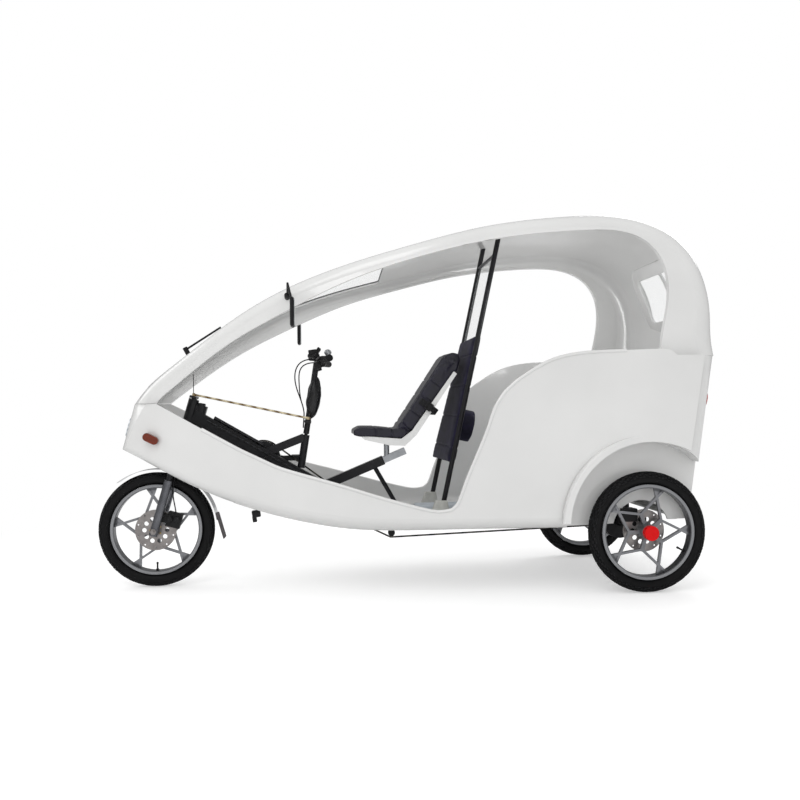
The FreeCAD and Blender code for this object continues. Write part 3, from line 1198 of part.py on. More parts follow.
# ---------------------------------------------------------------------------------------------
# Brake calipers
# ---------------------------------------------------------------------------------------------
caliper_box = steer_block("caliper_box", (34.0, 108.0), (18.0, 49.0), (-108.0, -38.0))
caliper_lug = steer_block("caliper_lug", (50.0, 92.0), (43.0, 60.0), (-60.0, -4.0))
disc_room = cross_rod("disc_room", FRONT_AXLE.add(V(0, FRONT_DISC_SIDE, 0)),
                      size("disc_thickness") / 2 + 1.5, "Sizes.disc_radius + 3")
leg_room = rod("leg_room", steer(-60.0, LEG), steer(300.0, LEG), "Sizes.fork_leg_radius + 0.1")
node("front_caliper", cut("caliper_cut", fuse("caliper_fuse", [caliper_box, caliper_lug]),
                          fuse("caliper_room", [disc_room, leg_room])))
leg_back = -size("fork_leg_radius") - size("cable_radius")
brake_line = cable([steer(109.6, 36.0, -70.0), steer(135.0, 44.0, -60.0), steer(190.0, 60.0, -38.0),
                    steer(250.0, LEG, leg_back - 2.0), steer(300.0, LEG, leg_back - 2.0),
                    steer(362.0, LEG, leg_back - 4.0)], size("cable_radius"))
feature("front_brake_cable", brake_line)
rear_calipers = []
for sign in (1, -1):
    disc_side = sign * (REAR_HALF - size("rear_hub_width") / 2 - size("disc_thickness") / 2)
    low, high = sorted((disc_side - sign * 22.0, disc_side + sign * 13.0))
    jaw = block("jaw_%d" % (sign + 1), rear(-34.0, AXLE_Z + 44.0, low), rear(-104.0, AXLE_Z + 104.0, high))
    low, high = sorted((disc_side - sign * 22.0, disc_side - sign * 12.0))
    lug = block("jaw_lug_%d" % (sign + 1), rear(20.0, AXLE_Z - 10.0, low), rear(-70.0, AXLE_Z + 70.0, high))
    room = cross_rod("jaw_room_%d" % (sign + 1), rear(0.0, AXLE_Z, disc_side),
                     size("disc_thickness") / 2 + 1.5, "Sizes.disc_radius + 3")
    beam_room = cross_rod("beam_room_%d" % (sign + 1), rear(0.0, AXLE_Z, disc_side), 60.0, "24.1")
    rear_calipers.append(cut("jaw_cut_%d" % (sign + 1), fuse("jaw_fuse_%d" % (sign + 1), [jaw, lug]),
                             fuse("jaw_rooms_%d" % (sign + 1), [room, beam_room])))
pair = doc.addObject("Part::Compound", "rear_caliper_pair")
pair.Links = rear_calipers
node("rear_calipers", pair)

# ---------------------------------------------------------------------------------------------
# Check every object, then write every sub-part
# ---------------------------------------------------------------------------------------------
doc.recompute()
for obj in doc.Objects:
    if "Invalid" in obj.State or "Error" in obj.State:
        raise RuntimeError("failed object: %s" % obj.Label)
for obj in NODES:
    shape = obj.Shape
    if shape.isNull() or not shape.isValid() or not shape.Solids:
        raise RuntimeError("bad shape: %s" % obj.Label)
for obj in NODES:
    obj.Shape.exportStep("parts/%s.step" % obj.Label)
    print("%-20s solids %d  volume %.2f l" % (obj.Label, len(obj.Shape.Solids), obj.Shape.Volume / 1e6))
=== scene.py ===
# %% [markdown]
# # Dressing a pedal cab
# The cab's solids come from a CAD model. This lesson gives each of them its real material, and then
# models what CAD leaves plain: tyres with a tread, stuffed seats, a fabric screen, cables and trims.
# Everything is in metres. +X points ahead, +Y to the vehicle's left and +Z up, with the ground at 0.

# %% Load the solids
import math

import bmesh
import bpy
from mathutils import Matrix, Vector
from mathutils.bvhtree import BVHTree


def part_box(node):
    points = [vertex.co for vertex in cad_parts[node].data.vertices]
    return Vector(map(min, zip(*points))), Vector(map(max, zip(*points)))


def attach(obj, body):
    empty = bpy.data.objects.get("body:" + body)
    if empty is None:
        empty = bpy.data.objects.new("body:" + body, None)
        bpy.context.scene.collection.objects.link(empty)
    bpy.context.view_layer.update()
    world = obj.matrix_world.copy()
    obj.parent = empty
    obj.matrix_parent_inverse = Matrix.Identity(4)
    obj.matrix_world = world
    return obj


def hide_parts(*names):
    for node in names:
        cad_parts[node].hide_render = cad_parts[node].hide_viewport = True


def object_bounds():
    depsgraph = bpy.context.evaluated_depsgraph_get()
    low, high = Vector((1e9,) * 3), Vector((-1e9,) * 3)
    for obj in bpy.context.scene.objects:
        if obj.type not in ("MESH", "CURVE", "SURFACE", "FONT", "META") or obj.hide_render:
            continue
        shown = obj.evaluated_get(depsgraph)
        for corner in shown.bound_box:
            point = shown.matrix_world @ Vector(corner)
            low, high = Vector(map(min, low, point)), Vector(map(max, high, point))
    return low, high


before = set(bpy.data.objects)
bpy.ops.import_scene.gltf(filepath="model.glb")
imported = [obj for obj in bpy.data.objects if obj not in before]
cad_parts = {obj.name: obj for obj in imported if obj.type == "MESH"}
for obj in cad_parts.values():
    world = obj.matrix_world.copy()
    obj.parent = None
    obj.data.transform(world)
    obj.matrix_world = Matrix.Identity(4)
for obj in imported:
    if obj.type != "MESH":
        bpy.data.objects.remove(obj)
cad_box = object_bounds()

print("solids:", len(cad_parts), "box:", [tuple(round(v, 3) for v in corner) for corner in cad_box])

# %% [markdown]
# ## The camera
# A 35 mm lens stands four metres off the left side, a little lower than the handlebar. A short lens
# this near shows a strip of the far side through the cab's openings, which tells the eye how wide it is.

# %% Camera
camera_data = bpy.data.cameras.new("side_camera")
camera_data.lens = 34.9925
camera_data.sensor_width = 36
camera = bpy.data.objects.new("side_camera", camera_data)
camera.location = (0.39424, 3.97202, 0.88256)
camera.rotation_euler = [math.radians(a) for a in (90.42978, 0.55913, 174.33632)]
bpy.context.scene.collection.objects.link(camera)
bpy.context.scene.camera = camera
print("camera at", tuple(camera.location))

# %% [markdown]
# ## Floor and light
# A pale floor runs into a white background. The lamps are large and soft, because glossy white
# moulding shows every hard lamp as a hot spot. Only the camera sees the white world at full strength.
# What lights the cab is a little dimmer, and what its gloss mirrors is dimmer still.

# %% Sizes and colours
MM = 0.001
SIDES = (("left", 1), ("right", -1))


def middle_of(node):
    """The middle of a solid's box."""
    low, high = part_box(node)
    return Vector([(a + b) / 2 for a, b in zip(low, high)])


def linear(hex_colour):
    """An sRGB hex colour as the linear values that Blender's sockets take."""
    channels = [int(hex_colour[i:i + 2], 16) / 255 for i in (1, 3, 5)]
    return [c / 12.92 if c <= 0.04045 else ((c + 0.055) / 1.055) ** 2.4 for c in channels] + [1.0]


def add(tree, kind, settings=None, links=None):
    """Adds one node. Settings name its options and its input sockets, and links say what feeds them."""
    made = tree.nodes.new(kind)
    for name, value in (settings or {}).items():
        if name in made.inputs:
            made.inputs[name].default_value = value
        else:
            setattr(made, name, value)
    for name, (source, output) in (links or {}).items():
        tree.links.new(source.outputs[output], made.inputs[name])
    return made


def new_material(name):
    """An empty node material, and its output."""
    material = bpy.data.materials.new(name)
    material.use_nodes = True
    material.node_tree.nodes.clear()
    return material, add(material.node_tree, "ShaderNodeOutputMaterial")


def two_tone(tree, texture, colours, ends=(0.0, 1.0)):
    """A ramp from one colour to another along a texture, plain beyond its two ends."""
    ramp = add(tree, "ShaderNodeValToRGB", None, {"Fac": (texture, "Fac")})
    for element, end, colour in zip(ramp.color_ramp.elements, ends, colours):
        element.position, element.color = end, linear(colour)
    return ramp


# %% World
world = bpy.data.worlds.new("soft_studio")
bpy.context.scene.world = world
world.use_nodes = True
sky = world.node_tree
sky.nodes.clear()
ray = add(sky, "ShaderNodeLightPath")
seen = add(sky, "ShaderNodeMath", {"operation": "MAXIMUM"})
sky.links.new(ray.outputs["Is Camera Ray"], seen.inputs[0])
sky.links.new(ray.outputs["Is Transmission Ray"], seen.inputs[1])
level = add(sky, "ShaderNodeMapRange", {"To Min": 0.84, "To Max": 1.0}, {"Value": (seen, 0)})
mirrored = add(sky, "ShaderNodeMapRange", {"To Min": 1.0, "To Max": 0.40}, {"Value": (ray, "Is Glossy Ray")})
strength = add(sky, "ShaderNodeMath", {"operation": "MULTIPLY"})
sky.links.new(level.outputs[0], strength.inputs[0])
sky.links.new(mirrored.outputs[0], strength.inputs[1])
backdrop = add(sky, "ShaderNodeBackground", {"Color": (1, 1, 1, 1)}, {"Strength": (strength, 0)})
add(sky, "ShaderNodeOutputWorld", None, {"Surface": (backdrop, 0)})
bpy.context.scene.view_settings.view_transform = "Standard"


# %% Lamps
def soft_lamp(name, place, aim, size, watts):
    """A square area lamp at a place, turned towards a point."""
    data = bpy.data.lights.new(name, "AREA")
    data.size, data.energy = size, watts
    lamp = bpy.data.objects.new(name, data)
    lamp.location = place
    lamp.rotation_euler = (Vector(aim) - Vector(place)).to_track_quat("-Z", "Y").to_euler()
    bpy.context.scene.collection.objects.link(lamp)
    return lamp


soft_lamp("key_lamp", (1.6, 3.6, 4.2), (-0.2, 0, 0.8), 2.6, 46)
soft_lamp("rim_lamp", (-3.2, -2.4, 3.6), (-0.4, 0, 1.0), 2.2, 34)
soft_lamp("front_lamp", (4.2, -0.6, 2.4), (0.4, 0, 0.8), 2.0, 22)
soft_lamp("fill_lamp", (-0.2, 5.4, 1.7), (-0.6, -0.4, 1.1), 2.6, 14)
# The cab's inside is lit from its own doorway, as it would be in the open with pale walls around.
soft_lamp("cabin_lamp", (-0.72, 0.42, 1.30), (-1.0, -0.5, 1.30), 0.34, 2.1).visible_camera = False

# %% Floor
bpy.ops.mesh.primitive_plane_add(size=60, location=(0, 0, cad_box[0].z))
floor = bpy.context.object
floor.name = "studio_floor"
floor_paint, out = new_material("pale_floor_paint")
tree = floor_paint.node_tree
matte = add(tree, "ShaderNodeBsdfDiffuse", {"Color": linear("#E8E8E8")})
ray = add(tree, "ShaderNodeLightPath")
lift = add(tree, "ShaderNodeMapRange", {"To Min": 0.0, "To Max": 0.36}, {"Value": (ray, "Is Camera Ray")})
glow = add(tree, "ShaderNodeEmission", {"Color": (1, 1, 1, 1)}, {"Strength": (lift, 0)})
both = add(tree, "ShaderNodeAddShader")
tree.links.new(matte.outputs[0], both.inputs[0])
tree.links.new(glow.outputs[0], both.inputs[1])
# Away from the cab the floor turns into plain white for the camera, so no horizon shows.
place = add(tree, "ShaderNodeTexCoord")
away = add(tree, "ShaderNodeVectorMath", {"operation": "LENGTH"}, {"Vector": (place, "Object")})
fade = add(tree, "ShaderNodeMapRange", {"From Min": 1.5, "From Max": 3.2, "interpolation_type": "SMOOTHSTEP"},
           {"Value": (away, "Value")})
share = add(tree, "ShaderNodeMath", {"operation": "MULTIPLY"})
tree.links.new(fade.outputs[0], share.inputs[0])
tree.links.new(ray.outputs["Is Camera Ray"], share.inputs[1])
white = add(tree, "ShaderNodeEmission", {"Color": (1, 1, 1, 1), "Strength": 1.0})
blend = add(tree, "ShaderNodeMixShader")
tree.links.new(share.outputs[0], blend.inputs[0])
tree.links.new(both.outputs[0], blend.inputs[1])
tree.links.new(white.outputs[0], blend.inputs[2])
tree.links.new(blend.outputs[0], out.inputs["Surface"])
floor.data.materials.append(floor_paint)
print("floor at", round(floor.location.z, 4))

# %% [markdown]
# ## Materials
# Each material starts from what the real one is. Its pattern is measured in millimetres on the real
# surface: a noise whose scale is 1000 / size has lumps about that size.


# %% Grain and bump
def grain(size_mm):
    """The texture scale whose lumps are about size_mm across."""
    return 1000.0 / size_mm


def finish_material(name, colours, roughness, lump_mm, depth_mm, metallic=0.0, rough_swing=0.05,
                    mottle_mm=60, **sockets):
    """A painted, moulded or cast surface: two near colours in soft patches, a fine bump and a gloss
    that varies by rough_swing. Sockets go straight to the shader."""
    material, out = new_material(name)
    tree = material.node_tree
    place = add(tree, "ShaderNodeTexCoord")
    patches = add(tree, "ShaderNodeTexNoise", {"Scale": grain(mottle_mm), "Detail": 3.0},
                  {"Vector": (place, "Object")})
    ramp = two_tone(tree, patches, colours, (0.3, 0.7))
    lumps = add(tree, "ShaderNodeTexNoise", {"Scale": grain(lump_mm), "Detail": 4.0},
                {"Vector": (place, "Object")})
    gloss = add(tree, "ShaderNodeMapRange",
                {"To Min": max(0.02, roughness - rough_swing), "To Max": roughness + rough_swing},
                {"Value": (lumps, "Fac")})
    bump = add(tree, "ShaderNodeBump", {"Strength": 1.0, "Distance": depth_mm * MM},
               {"Height": (lumps, "Fac")})
    shader = add(tree, "ShaderNodeBsdfPrincipled", {"Metallic": metallic, **sockets},
                 {"Base Color": (ramp, 0), "Roughness": (gloss, 0), "Normal": (bump, 0)})
    tree.links.new(shader.outputs[0], out.inputs["Surface"])
    return material


# %% Shell: white gelcoat on moulded glass fibre, with a wet gloss and a faint orange peel.
white_gelcoat = finish_material("white_gelcoat_on_glass_fibre", ("#E6E6E5", "#E0E0DF"), 0.16, 9, 0.02,
                                mottle_mm=400, **{"Coat Weight": 0.5, "Coat Roughness": 0.04})

# %% Steel tubes: black powder coat, baked. It has a fine even stipple and a half gloss.
black_powder_coat = finish_material("black_powder_coated_steel", ("#0D0D11", "#131318"), 0.36, 1.6, 0.05,
                                    mottle_mm=120, **{"Specular IOR Level": 0.4})

# %% Wheels and fork: cast aluminium under silver lacquer, a grainy grey metal that isn't mirror bright.
silver_lacquer = finish_material("silver_lacquered_cast_aluminium", ("#A9ACB0", "#B9BCC0"), 0.34, 1.2, 0.03,
                                 metallic=0.75, mottle_mm=40)
grey_anodised = finish_material("grey_anodised_aluminium", ("#66676C", "#77787D"), 0.28, 1.0, 0.02,
                                 metallic=0.85, mottle_mm=80)


# %% Cast wheels: the arms keep the cast skin, the rim's lips are turned bright on a lathe, and the well between them is painted darker as shade.
def cast_wheel_material(node):
    """Silver lacquer whose colour follows the distance from the wheel's axis, with painted shade in the rim's
    well.
    """
    low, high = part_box(node)
    outer = (high[2] - low[2]) / 2
    material, out = new_material("cast_aluminium_" + node)
    tree = material.node_tree
    place = add(tree, "ShaderNodeTexCoord")
    axle = add(tree, "ShaderNodeMapping", {"Location": -middle_of(node)}, {"Vector": (place, "Object")})
    flat = add(tree, "ShaderNodeMapping", {"Scale": (1, 0, 1)}, {"Vector": (axle, 0)})
    away = add(tree, "ShaderNodeVectorMath", {"operation": "LENGTH"}, {"Vector": (flat, 0)})
    share = add(tree, "ShaderNodeMapRange", {"From Min": 0.0, "From Max": outer},
                {"Value": (away, "Value")})
    rim_tones_with_painted_shade = add(tree, "ShaderNodeValToRGB", None, {"Fac": (share, 0)})
    ramp = rim_tones_with_painted_shade.color_ramp
    ramp.elements[0].position, ramp.elements[0].color = 0.0, linear("#7F8083")
    ramp.elements[1].position, ramp.elements[1].color = 1.0, linear("#8C8D90")
    # From the arms to the well and the turned lip, as shares of the rim's radius. The two dark stops in the
    # well are painted shade.
    for position, colour in ((0.86, "#929397"), (0.885, "#6C6D70"), (0.935, "#5E5F62"), (0.95, "#98999C")):
        ramp.elements.new(position).color = linear(colour)
    skin = add(tree, "ShaderNodeTexNoise", {"Scale": grain(1.2), "Detail": 4.0},
               {"Vector": (place, "Object")})
    gloss = add(tree, "ShaderNodeMapRange",
                {"From Min": 0.90, "From Max": 0.95, "To Min": 0.40, "To Max": 0.22}, {"Value": (share, 0)})
    bump = add(tree, "ShaderNodeBump", {"Strength": 1.0, "Distance": 0.03 * MM}, {"Height": (skin, "Fac")})
    shader = add(tree, "ShaderNodeBsdfPrincipled", {"Metallic": 0.7},
                 {"Base Color": (rim_tones_with_painted_shade, 0), "Roughness": (gloss, 0), "Normal": (bump, 0)})
    tree.links.new(shader.outputs[0], out.inputs["Surface"])
    return material


# %% Discs: ground stainless steel, dulled by brake dust.
ground_steel = finish_material("ground_stainless_steel", ("#938E8D", "#AAA5A3"), 0.38, 0.8, 0.02,
                               metallic=1.0, rough_swing=0.10, mottle_mm=25)

# %% Mudguard: rolled stainless strip, polished by the roller.
polished_strip = finish_material("polished_stainless_strip", ("#C9CBCD", "#D6D8DA"), 0.16, 6, 0.02,
                                 metallic=1.0, mottle_mm=60)

# %% Bolts: yellow passivated zinc plate, a thin rainbow-yellow skin on steel.
yellow_zinc = finish_material("yellow_passivated_zinc_plate", ("#B8995A", "#D2BC7E"), 0.36, 2.0, 0.03,
                              metallic=0.9, mottle_mm=18)

# %% Tyres: carbon-filled rubber, dull, with a bloom that makes it slightly brown or blue in patches.
tyre_rubber = finish_material("carbon_black_tyre_rubber", ("#070708", "#0D0D0F"), 0.55, 1.5, 0.08,
                              rough_swing=0.10, mottle_mm=30, **{"Specular IOR Level": 0.22})

# The blocks' tops get a paler, duller grey than the grooves: a painted highlight where the tops catch the
# light.
tread_top_painted_highlight = finish_material("tyre_rubber_painted_highlight_tops", ("#1E1E20", "#2B2B2D"), 0.7, 1.5, 0.05, mottle_mm=30,
                              **{"Specular IOR Level": 0.3})

# %% Small mouldings: black glass-filled nylon with a spark-eroded texture.
black_nylon = finish_material("textured_black_nylon", ("#0C0C0F", "#141417"), 0.48, 0.9, 0.04, mottle_mm=20,
                              **{"Specular IOR Level": 0.35})

# %% Hub caps: red polypropylene, moulded smooth.
red_polypropylene = finish_material("red_polypropylene", ("#D40205", "#E0080B"), 0.30, 3, 0.01, mottle_mm=20,
                                    **{"Specular IOR Level": 0.2})


# %% [markdown]
# ## Lenses, sheets and fabrics
# A lens has moulded ribs behind a smooth face. A clear sheet passes light and mirrors a little of it.
# Woven cloth is two sets of threads, so two wave textures at right angles make its bump.


# %% Lenses
def lens_material(name, colours, rib_mm):
    """Moulded acrylic with fine upright ribs. The streaks of light they make are painted into the colour,
    which runs between two tones across each rib.
    """
    material, out = new_material(name)
    tree = material.node_tree
    place = add(tree, "ShaderNodeTexCoord")
    ribs = add(tree, "ShaderNodeTexWave", {"bands_direction": "Z", "Scale": grain(rib_mm) / 20},
               {"Vector": (place, "Object")})
    # Painted light: the colour follows the ribs, a paler streak and a darker one on each.
    tint = two_tone(tree, ribs, colours)
    bump = add(tree, "ShaderNodeBump", {"Strength": 0.6, "Distance": 0.4 * MM}, {"Height": (ribs, "Fac")})
    shader = add(tree, "ShaderNodeBsdfPrincipled",
                 {"Roughness": 0.12, "IOR": 1.49, "Coat Weight": 0.3, "Coat Roughness": 0.03},
                 {"Base Color": (tint, 0), "Normal": (bump, 0)})
    tree.links.new(shader.outputs[0], out.inputs["Surface"])
    return material


orange_acrylic = lens_material("orange_acrylic_lens", ("#3A0F01", "#8C2D05"), 0.9)
red_acrylic = lens_material("red_acrylic_lens", ("#8E0E0E", "#CF2420"), 3.0)
clear_acrylic = lens_material("clear_acrylic_over_reflector", ("#AEB4BA", "#E6EAEE"), 4.0)

# %% Clear sheet: polycarbonate, three millimetres thick, with a few fine hairline scratches.
clear_sheet, out = new_material("clear_polycarbonate_sheet")
tree = clear_sheet.node_tree
place = add(tree, "ShaderNodeTexCoord")
scratches = add(tree, "ShaderNodeTexNoise", {"Scale": grain(30), "Detail": 6.0},
                {"Vector": (place, "Object")})
haze = add(tree, "ShaderNodeMapRange", {"To Min": 0.01, "To Max": 0.06}, {"Value": (scratches, "Fac")})
shader = add(tree, "ShaderNodeBsdfPrincipled",
             {"Base Color": linear("#F4F8F8"), "Alpha": 0.14, "IOR": 1.58, "Specular IOR Level": 1.0},
             {"Roughness": (haze, 0)})
tree.links.new(shader.outputs[0], out.inputs["Surface"])


# %% Woven and coated cloth
def woven_material(name, colours, thread_mm, depth_mm, roughness, sheen):
    """Plain weave: two sets of ridges at right angles, each thread_mm apart."""
    material, out = new_material(name)
    tree = material.node_tree
    place = add(tree, "ShaderNodeTexCoord")
    warp = add(tree, "ShaderNodeTexWave", {"bands_direction": "Y", "Scale": grain(thread_mm) / 20},
               {"Vector": (place, "Object")})
    weft = add(tree, "ShaderNodeTexWave", {"bands_direction": "Z", "Scale": grain(thread_mm) / 20},
               {"Vector": (place, "Object")})
    weave = add(tree, "ShaderNodeMath", {"operation": "MULTIPLY"})
    tree.links.new(warp.outputs["Fac"], weave.inputs[0])
    tree.links.new(weft.outputs["Fac"], weave.inputs[1])
    fade = add(tree, "ShaderNodeTexNoise", {"Scale": grain(45), "Detail": 5.0}, {"Vector": (place, "Object")})
    tint = two_tone(tree, fade, colours, (0.35, 0.7))
    bump = add(tree, "ShaderNodeBump", {"Strength": 0.8, "Distance": depth_mm * MM}, {"Height": (weave, 0)})
    shader = add(tree, "ShaderNodeBsdfPrincipled",
                 {"Roughness": roughness, "Sheen Weight": sheen, "Sheen Roughness": 0.4,
                  "Specular IOR Level": 0.3},
                 {"Base Color": (tint, 0), "Normal": (bump, 0)})
    tree.links.new(shader.outputs[0], out.inputs["Surface"])
    return material


# Polyester pack cloth, its 0.5 mm threads drawn 3 mm apart so that they show.
navy_pack_cloth = woven_material("navy_polyester_pack_cloth", ("#131025", "#231F3C"), 3.0, 0.25, 0.72, 0.06)


# %% Seat cover: polyurethane-coated cloth with an embossed grain of about 2 mm.
def coated_cloth_material(name, colours, grain_mm, roughness):
    """Embossed cells with a soft shine on their tops."""
    material, out = new_material(name)
    tree = material.node_tree
    place = add(tree, "ShaderNodeTexCoord")
    cells = add(tree, "ShaderNodeTexVoronoi", {"Scale": grain(grain_mm)}, {"Vector": (place, "Object")})
    wear = add(tree, "ShaderNodeTexNoise", {"Scale": grain(50), "Detail": 5.0}, {"Vector": (place, "Object")})
    tint = two_tone(tree, wear, colours, (0.35, 0.7))
    gloss = add(tree, "ShaderNodeMapRange", {"To Min": roughness - 0.08, "To Max": roughness + 0.12},
                {"Value": (wear, "Fac")})
    bump = add(tree, "ShaderNodeBump", {"Strength": 0.5, "Distance": 0.15 * MM},
               {"Height": (cells, "Distance")})
    shader = add(tree, "ShaderNodeBsdfPrincipled", {"Sheen Weight": 0.05},
                 {"Base Color": (tint, 0), "Roughness": (gloss, 0), "Normal": (bump, 0)})
    tree.links.new(shader.outputs[0], out.inputs["Surface"])
    return material


seat_cloth = coated_cloth_material("black_coated_seat_cloth", ("#0D0B1B", "#18152B"), 2.5, 0.34)
bench_cloth = coated_cloth_material("black_coated_bench_cloth", ("#0F0F15", "#181820"), 3.0, 0.46)

# %% Floor mat: grey studded rubber.
stud_mat, out = new_material("grey_studded_rubber_mat")
tree = stud_mat.node_tree
place = add(tree, "ShaderNodeTexCoord")
studs = add(tree, "ShaderNodeTexVoronoi", {"Scale": grain(22), "Randomness": 0.0},
            {"Vector": (place, "Object")})
round_top = add(tree, "ShaderNodeMapRange",
                {"From Min": 0.28, "From Max": 0.38, "To Min": 1.0, "To Max": 0.0},
                {"Value": (studs, "Distance")})
dust = add(tree, "ShaderNodeTexNoise", {"Scale": grain(35), "Detail": 5.0}, {"Vector": (place, "Object")})
tint = two_tone(tree, dust, ("#A7AEB5", "#C6CCD2"))
bump = add(tree, "ShaderNodeBump", {"Strength": 0.8, "Distance": 1.2 * MM}, {"Height": (round_top, 0)})
shader = add(tree, "ShaderNodeBsdfPrincipled", {"Roughness": 0.7},
             {"Base Color": (tint, 0), "Normal": (bump, 0)})
tree.links.new(shader.outputs[0], out.inputs["Surface"])

# %% Flap and grips: plain moulded rubber, greyed by road dust on the flap.
grip_rubber = finish_material("moulded_black_rubber", ("#0C0C0F", "#151519"), 0.66, 1.2, 0.06, mottle_mm=15,
                              **{"Specular IOR Level": 0.3})
flap_rubber = finish_material("dusty_black_rubber", ("#4C474A", "#5E585A"), 0.7, 1.5, 0.08, mottle_mm=25)

# %% Chain: oiled steel plates. Waves along the run stand for its links, which are half an inch apart.
def banded_material(name, colours, pitch_mm, depth_mm, roughness, metallic):
    """Rings or links across a run: a wave along the vehicle, steep enough to look like separate ribs. The
    colour follows the wave too: painted highlight on each crest, painted shade in each groove.
    """
    material, out = new_material(name)
    tree = material.node_tree
    place = add(tree, "ShaderNodeTexCoord")
    bands = add(tree, "ShaderNodeTexWave", {"bands_direction": "X", "Scale": grain(pitch_mm) / 20},
                {"Vector": (place, "Object")})
    # Painted light and shade: the dark tone falls in the grooves, the pale one on the crests.
    tint = two_tone(tree, bands, colours)
    bump = add(tree, "ShaderNodeBump", {"Strength": 1.0, "Distance": depth_mm * MM},
               {"Height": (bands, "Fac")})
    shader = add(tree, "ShaderNodeBsdfPrincipled", {"Roughness": roughness, "Metallic": metallic},
                 {"Base Color": (tint, 0), "Normal": (bump, 0)})
    tree.links.new(shader.outputs[0], out.inputs["Surface"])
    return material


# Each pair below runs from painted shade in the grooves to painted highlight on the crests.
threaded_zinc = banded_material("threaded_rod_in_yellow_zinc", ("#7C6136", "#EADCB8"), 9.0, 1.2, 0.38, 0.35)
chain_steel = banded_material("oiled_chain_steel", ("#0E0D0D", "#5A5652"), 12.7, 2.0, 0.42, 0.9)
ribbed_hose = banded_material("ribbed_black_conduit", ("#08080A", "#1D1E24"), 5.0, 1.0, 0.4, 0.0)

# %% [markdown]
# ## Giving the solids their materials
# Every solid has one material slot, so a table of node names is enough.

# %% Assign
FINISHES = {
    white_gelcoat: ["lower_body", "hood", "bench_base", "rear_window_bar", "seat_shell"],
    clear_sheet: ["windscreen", "rear_window", "partition_film"],
    black_powder_coat: ["frame", "rear_axle", "partition_posts", "fork_crown", "handlebar", "crankset"],
    silver_lacquer: ["seat_slider"],
    **{cast_wheel_material(rim): [rim] for rim in ("front_rim", "rear_rim_left", "rear_rim_right")},
    grey_anodised: ["fork_legs"],
    ground_steel: ["front_disc", "rear_disc_left", "rear_disc_right", "front_axle"],
    polished_strip: ["front_mudguard"],
    threaded_zinc: ["steering_link"],
    tyre_rubber: ["front_tyre", "rear_tyre_left", "rear_tyre_right"],
    chain_steel: ["chain"],
    ribbed_hose: ["cable_conduits"],
    black_nylon: ["chain_guide", "mirror_left", "mirror_right", "wiper", "rear_calipers", "front_caliper",
                  "brake_levers", "column_case", "pedals"],
    red_polypropylene: ["hub_cap_left", "hub_cap_right"],
    orange_acrylic: ["side_markers"],
    red_acrylic: ["tail_lamps"],
    clear_acrylic: ["headlamp"],
    navy_pack_cloth: ["partition_panel", "rest_pad"],
    seat_cloth: ["seat_cushion", "back_cushion"],
    bench_cloth: ["bench_cushion", "bench_backrest"],
    stud_mat: ["floor_mat"],
    grip_rubber: ["grips", "control_cables", "front_brake_cable"],
    flap_rubber: ["mud_flap"],
}
for material, names in FINISHES.items():
    for name in names:
        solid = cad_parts[name]
        solid.data.materials.clear()
        solid.data.materials.append(material)
print("without a finish:", sorted(set(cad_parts) - {n for names in FINISHES.values() for n in names}))

# %% [markdown]
# ## Making new pieces
# Each new piece starts as a primitive or as a copy of a solid, is worked in edit mode as by hand, and
# ends at the origin with its shape in its mesh. A few helpers keep the steps short.


# %% Helpers for pieces
def only(piece):
    """Leaves one object selected and active."""
    bpy.ops.object.select_all(action="DESELECT")
    piece.select_set(True)
    bpy.context.view_layer.objects.active = piece
    return piece


def settle(piece, name, material, body, smooth=40):
    """Freezes a finished piece: its place goes into its mesh, then material, smooth faces and body."""
    only(piece)
    bpy.ops.object.transform_apply(location=True, rotation=True, scale=True)
    piece.name = piece.data.name = name
    piece.data.materials.clear()
    piece.data.materials.append(material)
    bpy.ops.object.shade_smooth_by_angle(angle=math.radians(smooth))
    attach(piece, body)
    print(name + ":", len(piece.data.polygons), "faces on", body)
    return piece


def copy_of(node):
    """A copy of a solid with a merged mesh of its own."""
    piece = bpy.data.objects.new(node + "_copy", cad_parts[node].data.copy())
    bpy.context.scene.collection.objects.link(piece)
    only(piece)
    bpy.ops.object.mode_set(mode="EDIT")
    bpy.ops.mesh.select_all(action="SELECT")
    bpy.ops.mesh.remove_doubles(threshold=0.00002)
    bpy.ops.mesh.normals_make_consistent(inside=False)
    bpy.ops.object.mode_set(mode="OBJECT")
    return piece


def apply_modifier(piece, kind, **settings):
    """Adds a modifier with its settings and applies it."""
    only(piece)
    modifier = piece.modifiers.new(kind.lower(), kind)
    for key, value in settings.items():
        setattr(modifier, key, value)
    bpy.ops.object.modifier_apply(modifier=modifier.name)


def join(pieces):
    """Joins meshes into the first of them."""
    only(pieces[0])
    for piece in pieces[1:]:
        piece.select_set(True)
    bpy.ops.object.join()
    return pieces[0]


def sized(piece, size):
    """Gives a primitive its size before it is worked, so that its bevels come out even."""
    only(piece).scale = size
    bpy.ops.object.transform_apply(location=False, rotation=False, scale=True)
    return piece


def pick(piece, kind, wanted):
    """Picks, in edit mode, the faces or edges that pass a test, and stays in edit mode."""
    bpy.ops.object.mode_set(mode="EDIT")
    bpy.ops.mesh.select_mode(type=kind)
    bpy.ops.mesh.select_all(action="DESELECT")
    shape = bmesh.from_edit_mesh(piece.data)
    for part in shape.faces if kind == "FACE" else shape.edges:
        part.select = wanted(part)
    bmesh.update_edit_mesh(piece.data)


def turned_bar(start, end, radius, segments=24):
    """A round bar between two points, with its edges broken."""
    start, end = Vector(start), Vector(end)
    run = end - start
    bpy.ops.mesh.primitive_cylinder_add(vertices=segments, radius=radius, depth=run.length,
                                        location=(start + end) / 2,
                                        rotation=run.to_track_quat("Z", "Y").to_euler())
    apply_modifier(bpy.context.object, "BEVEL", width=radius * 0.15, segments=2)
    return bpy.context.object


